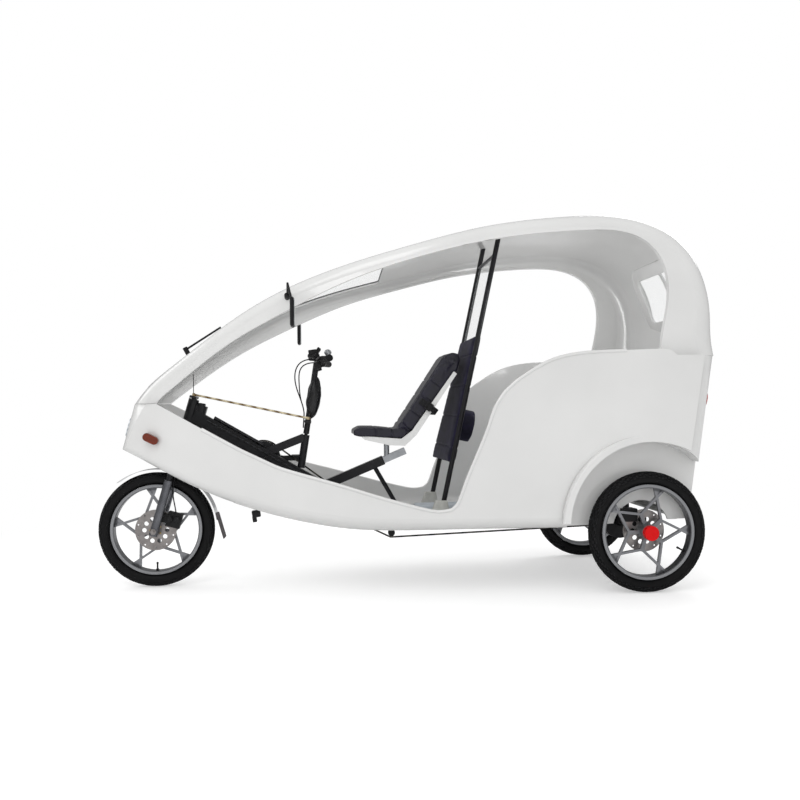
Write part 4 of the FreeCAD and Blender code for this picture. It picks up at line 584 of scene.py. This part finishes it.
def moulded_box(place, size, turn=0, edge=0.003, segments=3):
    """A box with rounded edges, turned about the Y axis."""
    bpy.ops.mesh.primitive_cube_add(size=1, location=place, rotation=(0, turn, 0))
    box = sized(bpy.context.object, size)
    apply_modifier(box, "BEVEL", width=edge, segments=segments)
    return box


# %% [markdown]
# ## Stuffed seats
# A cushion is cloth round foam. Its flat solid is remeshed into even cells, air pressure in a cloth
# simulation blows it up, and no point may move further than a cap, because foam doesn't stretch like a
# balloon. Sewn lines are pressed in afterwards, since remeshing would wipe them out.


# %% Stuffing and sewing
AIR_PRESSURE = 4.0
CLOTH_STEPS = 20


def stuff(piece, voxel, cap, shrink):
    """Turns a closed shape into a stuffed cover: cells of size voxel, no point moved by more than cap."""
    centre = sum((Vector(corner) for corner in piece.bound_box), Vector()) / 8
    for vertex in piece.data.vertices:
        vertex.co = centre + (vertex.co - centre) * shrink
    piece.data.remesh_voxel_size = voxel
    only(piece)
    bpy.ops.object.voxel_remesh()
    apply_modifier(piece, "SMOOTH", factor=0.5, iterations=6)
    before = [vertex.co.copy() for vertex in piece.data.vertices]
    cloth = piece.modifiers.new("cloth", "CLOTH")
    cloth.settings.use_pressure = True
    cloth.settings.uniform_pressure_force = AIR_PRESSURE
    cloth.settings.effector_weights.gravity = 0.0
    for step in range(1, CLOTH_STEPS + 1):
        bpy.context.scene.frame_set(step)
    bpy.ops.object.modifier_apply(modifier="cloth")
    bpy.context.scene.frame_set(1)
    for vertex, start in zip(piece.data.vertices, before):
        move = vertex.co - start
        if move.length > cap:
            vertex.co = start + move * (cap / move.length)
    apply_modifier(piece, "SUBSURF", levels=1)
    return piece


def sew(piece, across, place, width=0.007, depth=0.004):
    """Presses a sewn line in where the piece crosses a plane, given by its normal and its distance."""
    across = Vector(across).normalized()
    normals = [vertex.normal.copy() for vertex in piece.data.vertices]
    for vertex, normal in zip(piece.data.vertices, normals):
        off = abs(vertex.co.dot(across) - place)
        if off < width:
            vertex.co -= normal * depth * (1 - off / width) ** 1.5
    piece.data.update()


# %% Driver's seat: one cover over seat and backrest, joined by a fold at the hips.
BACKREST_RUN, BACKREST_RISE = 0.212, 0.293
LEAN = math.atan2(BACKREST_RUN, BACKREST_RISE)
up_back = Vector((-math.sin(LEAN), 0, math.cos(LEAN)))
seat_low, seat_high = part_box("seat_cushion")
back_low, back_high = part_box("back_cushion")
bpy.ops.mesh.primitive_cube_add(size=1, location=(back_high[0] - 0.012, 0, (seat_high[2] + back_low[2]) / 2),
                                rotation=(0, -LEAN / 2, 0), scale=(0.060, 0.270, 0.044))
fold = bpy.context.object
apply_modifier(fold, "BEVEL", width=0.010, segments=2)
cover_parts = [copy_of("seat_cushion"), copy_of("back_cushion"), fold]
seat = stuff(join(cover_parts), 0.0065, 0.006, 1.0)
for side in (-0.115, 0.115):
    sew(seat, (0, 1, 0), side)
foot_point = Vector((back_high[0], 0, back_low[2]))
for rise in (0.11, 0.20, 0.29):
    sew(seat, up_back, foot_point.dot(up_back) + rise, 0.008, 0.004)
for along in (0.075, 0.155):
    sew(seat, (1, 0, 0), seat_low[0] + along, 0.007, 0.003)
settle(seat, "seat_cover", seat_cloth, "chassis", 60)
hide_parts("seat_cushion", "back_cushion")

# %% Passenger bench
for node, rows in (("bench_cushion", 3), ("bench_backrest", 4)):
    low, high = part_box(node)
    cover = stuff(copy_of(node), 0.014, 0.014, 0.97)
    for k in range(1, rows):
        sew(cover, (0, 1, 0), low[1] + (high[1] - low[1]) * k / rows, 0.014, 0.008)
    settle(cover, node.replace("bench_", "bench_cover_"), bench_cloth, "chassis", 60)
    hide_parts(node)

# %% Rest pad: a round stuffed pad that domes out towards the driver.
pad = stuff(copy_of("rest_pad"), 0.007, 0.012, 0.95)
settle(pad, "rest_pad_cover", navy_pack_cloth, "chassis", 60)
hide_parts("rest_pad")

# %% [markdown]
# ## The fabric screen
# A quilted cover is pulled down over both posts. It starts as a slab in the posts' plane, thicker at
# the bottom where it bellies out, and the same stuffing softens it.

# %% Cover over the posts: it hangs a little higher than its solid, where the ties hold it.
HANG = 0.055
panel_low, panel_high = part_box("partition_panel")
HALF_SLAB = 0.009
panel_foot = Vector((panel_high[0] - HALF_SLAB, 0, panel_low[2]))
panel_top = Vector((panel_low[0] + HALF_SLAB, 0, panel_high[2]))
panel_run = panel_top - panel_foot
panel_foot += panel_run.normalized() * HANG
panel_top += panel_run.normalized() * HANG
post_half = panel_high[1] + 0.0235
bpy.ops.mesh.primitive_cube_add(size=1)
cover = bpy.context.object
only(cover)
for vertex in cover.data.vertices:
    top_end, left = vertex.co.z > 0, vertex.co.y > 0
    belly = 0.020 if left else 0.046
    ahead = (0.018 if top_end else belly) if vertex.co.x > 0 else -0.016
    spot = panel_top if top_end else panel_foot
    vertex.co = spot + Vector((ahead, math.copysign(post_half, vertex.co.y), 0))
apply_modifier(cover, "BEVEL", width=0.010, segments=3)
stuff(cover, 0.009, 0.005, 1.0)
panel_way = panel_run.normalized()
for rise in (0.12, 0.36, 0.60, 0.84):
    sew(cover, panel_way, (panel_foot + panel_run * rise).dot(panel_way), 0.008, 0.005)
settle(cover, "partition_cover", navy_pack_cloth, "chassis", 60)
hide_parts("partition_panel")

# %% [markdown]
# ## Tyres
# A tyre is a torus whose inside is pressed flat onto the rim. Its tread is cut by hand: faces of the
# crown are picked in a pattern, inset one by one and lifted, which leaves grooves between the blocks.


# %% Tyres with tread
TREAD_HEIGHT = 0.0035
GROOVE = 0.0022
BEAD_RADIUS = 0.2223
TURNS, ROWS = 108, 36


def treaded_tyre(node, body, pattern):
    """A tyre in place of a solid; pattern says which faces, by turn and row, become tread blocks."""
    low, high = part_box(node)
    width, radius = high[1] - low[1], (high[2] - low[2]) / 2
    bpy.ops.object.select_all(action="DESELECT")
    bpy.ops.mesh.primitive_torus_add(major_segments=TURNS, minor_segments=ROWS, rotation=(math.pi / 2, 0, 0),
                                     major_radius=radius - width / 2, minor_radius=width / 2 - TREAD_HEIGHT)
    tyre = only(bpy.context.object)
    bpy.ops.object.transform_apply(location=False, rotation=True, scale=False)
    bpy.ops.object.mode_set(mode="EDIT")
    bpy.ops.mesh.select_mode(type="FACE")
    bpy.ops.mesh.select_all(action="DESELECT")
    bpy.ops.object.mode_set(mode="OBJECT")
    for vertex in tyre.data.vertices:
        out = math.hypot(vertex.co.x, vertex.co.z)
        if out < BEAD_RADIUS:
            vertex.co.x *= BEAD_RADIUS / out
            vertex.co.z *= BEAD_RADIUS / out
    for face in tyre.data.polygons:
        out = math.hypot(face.center.x, face.center.z)
        row = round(math.atan2(face.center.y, out - radius + width / 2) / (2 * math.pi / ROWS) - 0.5)
        turn = round(math.atan2(face.center.z, face.center.x) / (2 * math.pi / TURNS) - 0.5)
        face.select = pattern(turn % TURNS, row)
    bpy.ops.object.mode_set(mode="EDIT")
    bpy.ops.mesh.inset(thickness=GROOVE / 2, depth=TREAD_HEIGHT, use_individual=True)
    bpy.ops.object.mode_set(mode="OBJECT")
    tops = [face.index for face in tyre.data.polygons if face.select]
    tyre.location = middle_of(node)
    settle(tyre, node + "_treaded", tyre_rubber, body, 25)
    # The block tops take the second material, whose paler grey is a painted highlight.
    tyre.data.materials.append(tread_top_painted_highlight)
    for index in tops:
        tyre.data.polygons[index].material_index = 1
    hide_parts(node)


def ribbed_tread(turn, row):
    """Two centre ribs, and shoulder blocks that lean back."""
    rib = row in (-1, 0)
    beside_rib = row in (-2, 1, -3, 2) and turn % 3 != 0
    shoulder = row in (-5, -6, 4, 5) and (turn + abs(row)) % 3 != 0
    return rib or beside_rib or shoulder


def block_tread(turn, row):
    """Staggered blocks right across the crown."""
    mirrored = row if row >= 0 else -1 - row
    return mirrored <= 7 and (turn + mirrored) % 3 != 0 and mirrored != 2


for node, body, pattern in (("front_tyre", "front_wheel", ribbed_tread),
                            ("rear_tyre_left", "rear_wheel_left", block_tread),
                            ("rear_tyre_right", "rear_wheel_right", block_tread)):
    treaded_tyre(node, body, pattern)

# %% [markdown]
# ## Seals and rolled edges
# Moulded shells end in rolled edges, and a pane sits in a rubber section. Both follow an edge that the
# solids already have: the edge is picked out of a copy, turned into a curve and given a round section.


# %% Tubes along edges
def tube_along(points, radius, name, material, body, closed=False):
    """A smooth round section along points."""
    curve = bpy.data.curves.new(name, "CURVE")
    curve.dimensions = "3D"
    curve.bevel_depth = radius
    curve.bevel_resolution = 3
    curve.use_fill_caps = True
    spline = curve.splines.new("NURBS")
    spline.points.add(len(points) - 1)
    for spot, point in zip(spline.points, points):
        spot.co = (*point, 1)
    spline.order_u = 3
    spline.use_endpoint_u = not closed
    spline.use_cyclic_u = closed
    piece = bpy.data.objects.new(name, curve)
    bpy.context.scene.collection.objects.link(piece)
    only(piece)
    bpy.ops.object.convert(target="MESH")
    return settle(bpy.context.object, name, material, body, 60)


def outer_loop(node):
    """The points round the outer skin of a thin pane that leans along the vehicle, in order."""
    pane = copy_of(node)
    skin = max(pane.data.polygons, key=lambda face: face.area * face.normal.z).index
    pick(pane, "FACE", lambda face: face.index == skin)
    bpy.ops.mesh.faces_select_linked_flat(sharpness=math.radians(35))
    bpy.ops.mesh.select_all(action="INVERT")
    bpy.ops.mesh.delete(type="FACE")
    shape = bmesh.from_edit_mesh(pane.data)
    rim = {vertex.co.copy().freeze() for edge in shape.edges if edge.is_boundary for vertex in edge.verts}
    bpy.ops.object.mode_set(mode="OBJECT")
    bpy.data.objects.remove(pane)
    middle = sum(rim, Vector()) / len(rim)
    slope = (max(rim, key=lambda p: p.z) - min(rim, key=lambda p: p.z)) * Vector((1, 0, 1))
    slope.normalize()
    return sorted(rim, key=lambda p: math.atan2((p - middle).dot(slope), p.y - middle.y))


# %% Rolled edge: the lower shell's wall ends in a rolled lip all along the doorway.
def wall_top(tree, x, side):
    """The highest point of the side wall at a place along the cab, found by looking in from outside."""
    low, high, top = 0.35, 1.2, None
    for halving in range(16):
        height = (low + high) / 2
        outside, inward = Vector((x, side * 0.9, height)), Vector((0, -side, 0))
        spot = tree.ray_cast(outside, inward, 0.75)[0]
        if spot is None:
            high = height
        else:
            low, top = height, spot
    return top


EDGE_RADIUS = 0.0085
shell = copy_of("lower_body")
walls = BVHTree.FromObject(shell, bpy.context.evaluated_depsgraph_get())
# The stations lie closest where the rim climbs behind the doorway.
stations = [0.96 - 0.06 * k for k in range(20)]
stations += [-0.19 - 0.02 * k for k in range(18)]
stations += [-0.58 - 0.07 * k for k in range(7)]
for label, side in SIDES:
    tops = [wall_top(walls, x, side) for x in stations]
    inset = Vector((0, -side * EDGE_RADIUS * 0.5, -EDGE_RADIUS * 0.4))
    lip = [point + inset for point in tops if point is not None]
    tube_along(lip, EDGE_RADIUS, "rolled_edge_" + label, white_gelcoat, "chassis")
bpy.data.objects.remove(shell)

# %% Windscreen seal: extruded black rubber round the pane.
seal_rubber = finish_material("extruded_black_seal_rubber", ("#0B0B0D", "#131316"), 0.5, 1.0, 0.04,
                              mottle_mm=30)
SEAL_RADIUS = 0.0035
tube_along(outer_loop("windscreen"), SEAL_RADIUS, "windscreen_seal", seal_rubber, "chassis", closed=True)

# %% [markdown]
# ## Small fittings
# What the CAD leaves out is small: valve stems, disc bolts, the band round the seat, the shoe at each
# post's foot, the pouch on the handlebar column. Most start as a primitive whose edges are then broken.


# %% Bolts and valves
BOLTS = 5
BOLT_CIRCLE = 0.027
HEAD_RADIUS = 0.0045
HEAD_HEIGHT = 0.004


def disc_bolts(node, body, side, name):
    """Hexagon heads in a circle on one side of a brake disc."""
    low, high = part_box(node)
    centre, face = middle_of(node), (high if side > 0 else low)[1]
    heads = []
    for k in range(BOLTS):
        angle = 2 * math.pi * k / BOLTS
        spot = (centre.x + BOLT_CIRCLE * math.cos(angle), face + side * HEAD_HEIGHT / 2,
                centre.z + BOLT_CIRCLE * math.sin(angle))
        bpy.ops.mesh.primitive_cylinder_add(vertices=6, radius=HEAD_RADIUS, depth=HEAD_HEIGHT,
                                            rotation=(math.pi / 2, 0, 0), location=spot)
        apply_modifier(bpy.context.object, "BEVEL", width=HEAD_RADIUS * 0.15, segments=2)
        heads.append(bpy.context.object)
    settle(join(heads), name, yellow_zinc, body, 30)


disc_bolts("front_disc", "front_wheel", 1, "front_disc_bolts")
disc_bolts("rear_disc_left", "rear_wheel_left", -1, "left_disc_bolts")
disc_bolts("rear_disc_right", "rear_wheel_right", 1, "right_disc_bolts")

RIM_WALL = 0.017
# Length, radius and distance from the rim's inner face for the collar, the stem and the cap.
VALVE_PARTS = ((0.008, 0.0075, 0.004), (0.030, 0.0042, 0.018), (0.010, 0.0052, 0.036))


def valve_stem(node, body, degrees, name):
    """A rubber snap-in valve that points at the hub."""
    low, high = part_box(node)
    centre, angle = middle_of(node), math.radians(degrees)
    radius = (high[2] - low[2]) / 2 - RIM_WALL
    parts = []
    for depth, thick, along in VALVE_PARTS:
        out = radius - along
        spot = (centre.x + out * math.cos(angle), centre.y, centre.z + out * math.sin(angle))
        bpy.ops.mesh.primitive_cylinder_add(vertices=20, radius=thick, depth=depth,
                                            rotation=(0, math.pi / 2 - angle, 0), location=spot)
        apply_modifier(bpy.context.object, "BEVEL", width=0.001, segments=2)
        parts.append(bpy.context.object)
    settle(join(parts), name, grip_rubber, body, 40)


valve_stem("front_rim", "front_wheel", -90, "front_valve")
valve_stem("rear_rim_left", "rear_wheel_left", 208, "left_valve")
valve_stem("rear_rim_right", "rear_wheel_right", 66, "right_valve")


# %% Seat band: webbing round backrest and shell, with a moulded buckle
def band_round(centre, size, turn, thickness, name, material, body):
    """A flat band bent round a box of the given size: a cube without its ends, given a thickness."""
    bpy.ops.mesh.primitive_cube_add(size=1, location=centre, rotation=(0, turn, 0))
    band = sized(bpy.context.object, size)
    pick(band, "FACE", lambda face: abs(face.normal.z) > 0.9)
    bpy.ops.mesh.delete(type="FACE")
    pick(band, "EDGE", lambda edge: abs((edge.verts[0].co - edge.verts[1].co).normalized().z) > 0.9)
    bpy.ops.mesh.bevel(offset=0.022, segments=6)
    bpy.ops.object.mode_set(mode="OBJECT")
    apply_modifier(band, "SOLIDIFY", thickness=thickness, offset=1)
    apply_modifier(band, "BEVEL", width=0.0004, segments=2)
    settle(band, name, material, body, 40)


black_webbing = woven_material("black_polyester_webbing", ("#0C0C0F", "#17171B"), 2.0, 0.3, 0.6, 0.2)
BAND_SIZE, WEBBING = (0.100, 0.316, 0.030), 0.0016
BUCKLE_SIZE = (0.034, 0.007, 0.040)
band_at = Vector((back_high[0] - 0.131, 0, back_low[2] + 0.118))
band_round(band_at, BAND_SIZE, -LEAN, WEBBING, "seat_band", black_webbing, "chassis")
bpy.ops.mesh.primitive_cube_add(size=1, location=band_at + Vector((0, 0.160, 0)), rotation=(0, -LEAN, 0))
buckle = sized(bpy.context.object, BUCKLE_SIZE)
pick(buckle, "FACE", lambda face: face.normal.y > 0.9)
bpy.ops.mesh.inset(thickness=0.006)
bpy.ops.mesh.inset(thickness=0.001, depth=-0.003)
bpy.ops.object.mode_set(mode="OBJECT")
apply_modifier(buckle, "BEVEL", width=0.0008, segments=2)
settle(buckle, "seat_band_buckle", black_nylon, "chassis", 40)

# %% Pouch on the column: a folded leather pouch tied round the handlebar column.
pouch_leather = coated_cloth_material("black_grained_leather", ("#0A0A0C", "#1A1A1F"), 3.5, 0.30)
case_low, case_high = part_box("column_case")
POUCH_DROP = 0.028
POUCH_HALF_DEPTH, POUCH_HALF_WIDTH, POUCH_OVERLAP = 0.035, 0.030, 0.032
COLUMN_LEAN = math.radians(8.7)
bpy.ops.mesh.primitive_uv_sphere_add(segments=40, ring_count=24,
                                     location=((case_low[0] + case_high[0]) / 2 + POUCH_DROP * 0.15, 0,
                                               (case_low[2] + case_high[2]) / 2 - POUCH_DROP))
pouch_half_height = (case_high[2] - case_low[2]) / 2 + POUCH_OVERLAP
pouch = sized(bpy.context.object, (POUCH_HALF_DEPTH, POUCH_HALF_WIDTH, pouch_half_height))
pouch.rotation_euler = (0, -COLUMN_LEAN, 0)
tuck = bpy.data.textures.new("tuck", "CLOUDS")
tuck.noise_scale = 0.05
apply_modifier(pouch, "DISPLACE", texture=tuck, strength=0.010, mid_level=0.5)
settle(pouch, "column_pouch", pouch_leather, "handlebar", 60)
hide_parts("column_case")

# %% Shoes at the posts' feet: grey moulded rubber, slipped over each post.
shoe_rubber = finish_material("grey_moulded_rubber", ("#B4B4AF", "#C6C6C0"), 0.7, 1.5, 0.08, mottle_mm=25)
posts_low, posts_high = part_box("partition_posts")
HALF_POST = 0.0125
SHOE_SIZE = (0.104, 0.058, 0.090)
SHOE_TAPER = (0.55, 0.70, 1.0)
for label, side in SIDES:
    foot_x = posts_high[0] - HALF_POST
    bpy.ops.mesh.primitive_cube_add(size=1, location=(foot_x, side * (posts_high[1] - HALF_POST),
                                                      posts_low[2] + 0.049))
    shoe = sized(bpy.context.object, SHOE_SIZE)
    pick(shoe, "FACE", lambda face: face.normal.z > 0.9)
    bpy.ops.transform.resize(value=SHOE_TAPER, center_override=(foot_x - 0.016, shoe.location.y, 0))
    bpy.ops.object.mode_set(mode="OBJECT")
    apply_modifier(shoe, "BEVEL", width=0.008, segments=4)
    settle(shoe, "post_shoe_" + label, shoe_rubber, "chassis", 40)

# %% Mat over the floor beam: a second strip of the same mat that hides the beam between the posts.
mat_low, mat_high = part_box("floor_mat")
hump_place = ((mat_low[0] + mat_high[0]) / 2 + 0.01, 0, mat_low[2] + 0.026)
hump_size = (mat_high[0] - mat_low[0] - 0.02, 0.130, 0.056)
settle(moulded_box(hump_place, hump_size, 0, 0.014, 5), "beam_mat", stud_mat, "chassis", 40)

# %% Rear window frame: a moulded ring inside the shell, with rounded corners.
pane_low, pane_high = (Vector(corner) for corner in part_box("rear_window"))
pane_lean = math.atan2(pane_high.x - pane_low.x, pane_high.z - pane_low.z)
RING_HEIGHT, RING_OVERLAP, RING_AHEAD = 0.385, 0.030, 0.016
RING_CORNER, RING_BORDER, RING_THICKNESS = 0.095, 0.070, 0.014
bpy.ops.mesh.primitive_plane_add(size=1, location=(pane_low + pane_high) / 2 + Vector((RING_AHEAD, 0, 0)))
ring = sized(bpy.context.object, (RING_HEIGHT, pane_high.y - pane_low.y + 2 * RING_OVERLAP, 1))
ring.rotation_euler = (0, math.pi / 2 + pane_lean, 0)
bpy.ops.object.mode_set(mode="EDIT")
bpy.ops.mesh.select_all(action="SELECT")
bpy.ops.mesh.bevel(offset=RING_CORNER, segments=10, affect="VERTICES")
bpy.ops.mesh.select_all(action="SELECT")
bpy.ops.mesh.inset(thickness=RING_BORDER)
bpy.ops.mesh.delete(type="FACE")
bpy.ops.object.mode_set(mode="OBJECT")
apply_modifier(ring, "SOLIDIFY", thickness=RING_THICKNESS, offset=0)
apply_modifier(ring, "BEVEL", width=0.004, segments=3)
settle(ring, "rear_window_frame", white_gelcoat, "chassis", 40)


# %% Handlebar fittings: switch housings, brake cylinders, a display and a bell
grip_low, grip_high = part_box("grips")
bar_z = (grip_low[2] + grip_high[2]) / 2
bar_x = grip_high[0] - 0.012
for label, side in SIDES:
    housing = [turned_bar((bar_x, side * 0.118, bar_z), (bar_x - 0.006, side * 0.142, bar_z), 0.021),
               moulded_box((bar_x + 0.020, side * 0.128, bar_z - 0.026), (0.034, 0.024, 0.034), 0.3),
               turned_bar((bar_x + 0.062, side * 0.105, bar_z + 0.022),
                          (bar_x + 0.018, side * 0.155, bar_z + 0.022), 0.0115),
               moulded_box((bar_x + 0.045, side * 0.120, bar_z + 0.040), (0.040, 0.030, 0.024), 0.15)]
    settle(join(housing), "switch_housing_" + label, black_nylon, "handlebar", 35)
display = [moulded_box((bar_x + 0.028, 0, bar_z + 0.042), (0.018, 0.094, 0.062), -0.6),
           turned_bar((bar_x + 0.004, -0.030, bar_z), (bar_x + 0.030, -0.030, bar_z + 0.040), 0.006),
           turned_bar((bar_x + 0.004, 0.030, bar_z), (bar_x + 0.030, 0.030, bar_z + 0.040), 0.006)]
settle(join(display), "handlebar_display", black_nylon, "handlebar", 35)
bpy.ops.mesh.primitive_uv_sphere_add(segments=28, ring_count=16, radius=0.018,
                                     location=(bar_x - 0.030, 0.150, bar_z + 0.036))
bell = sized(bpy.context.object, (1, 1, 0.86))
settle(join([bell, turned_bar((bar_x - 0.016, 0.150, bar_z), (bar_x - 0.028, 0.150, bar_z + 0.026), 0.005)]),
       "bell", silver_lacquer, "handlebar", 40)

# %% Front caliper: the cast body with its edges rounded, two piston caps and a bleed screw.
caliper = copy_of("front_caliper")
apply_modifier(caliper, "BEVEL", width=0.004, segments=3)
caliper_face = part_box("front_caliper")[1][1]
caliper_middle = middle_of("front_caliper")
caps = [turned_bar((caliper_middle.x + dx, caliper_face - 0.002, caliper_middle.z + dz),
                   (caliper_middle.x + dx, caliper_face + 0.006, caliper_middle.z + dz), radius)
        for dx, dz, radius in ((-0.030, 0.004, 0.015), (0.006, 0.008, 0.015), (-0.012, 0.030, 0.005))]
settle(join([caliper] + caps), "front_caliper_body", black_nylon, "fork", 35)
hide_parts("front_caliper")

# %% Small parts of the body: a bracket below it, and a gusset and a rod at the head tube.
body_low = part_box("lower_body")[0]
bracket = [moulded_box((0.724, 0.10, body_low[2] + 0.052), (0.040, 0.030, 0.034), 0.15),
           moulded_box((0.732, 0.10, body_low[2] + 0.026), (0.020, 0.022, 0.030), 0.15)]
settle(join(bracket), "underbody_bracket", black_nylon, "chassis", 35)
settle(moulded_box((1.003, 0, 0.8632), (0.034, 0.044, 0.085), -0.18, 0.005), "head_gusset", black_powder_coat,
       "chassis", 35)
head_low, head_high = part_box("fork_crown")
rod_foot = Vector((head_low[0] + 0.027, -0.022, head_high[2] - 0.030))
head_rod = turned_bar(rod_foot, rod_foot + Vector((0.001, 0, 0.125)), 0.0018, 12)
settle(head_rod, "head_rod", black_nylon, "chassis", 40)

# %% Mirror faces: silvered glass on the side that faces the driver.
mirror_glass = finish_material("silvered_glass", ("#C9CDD0", "#D2D6D8"), 0.03, 40, 0.0, metallic=1.0,
                               rough_swing=0.01)
GLASS_SIZE = (0.002, 0.084, 0.117)
for label, side in SIDES:
    low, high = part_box("mirror_" + label)
    outer = high[1] if side > 0 else low[1]
    glass = moulded_box((low[0] - 0.0012, outer - side * 0.048, low[2] + 0.0645), GLASS_SIZE, 0, 0.0009, 2)
    settle(glass, "mirror_glass_" + label, mirror_glass, "chassis", 30)
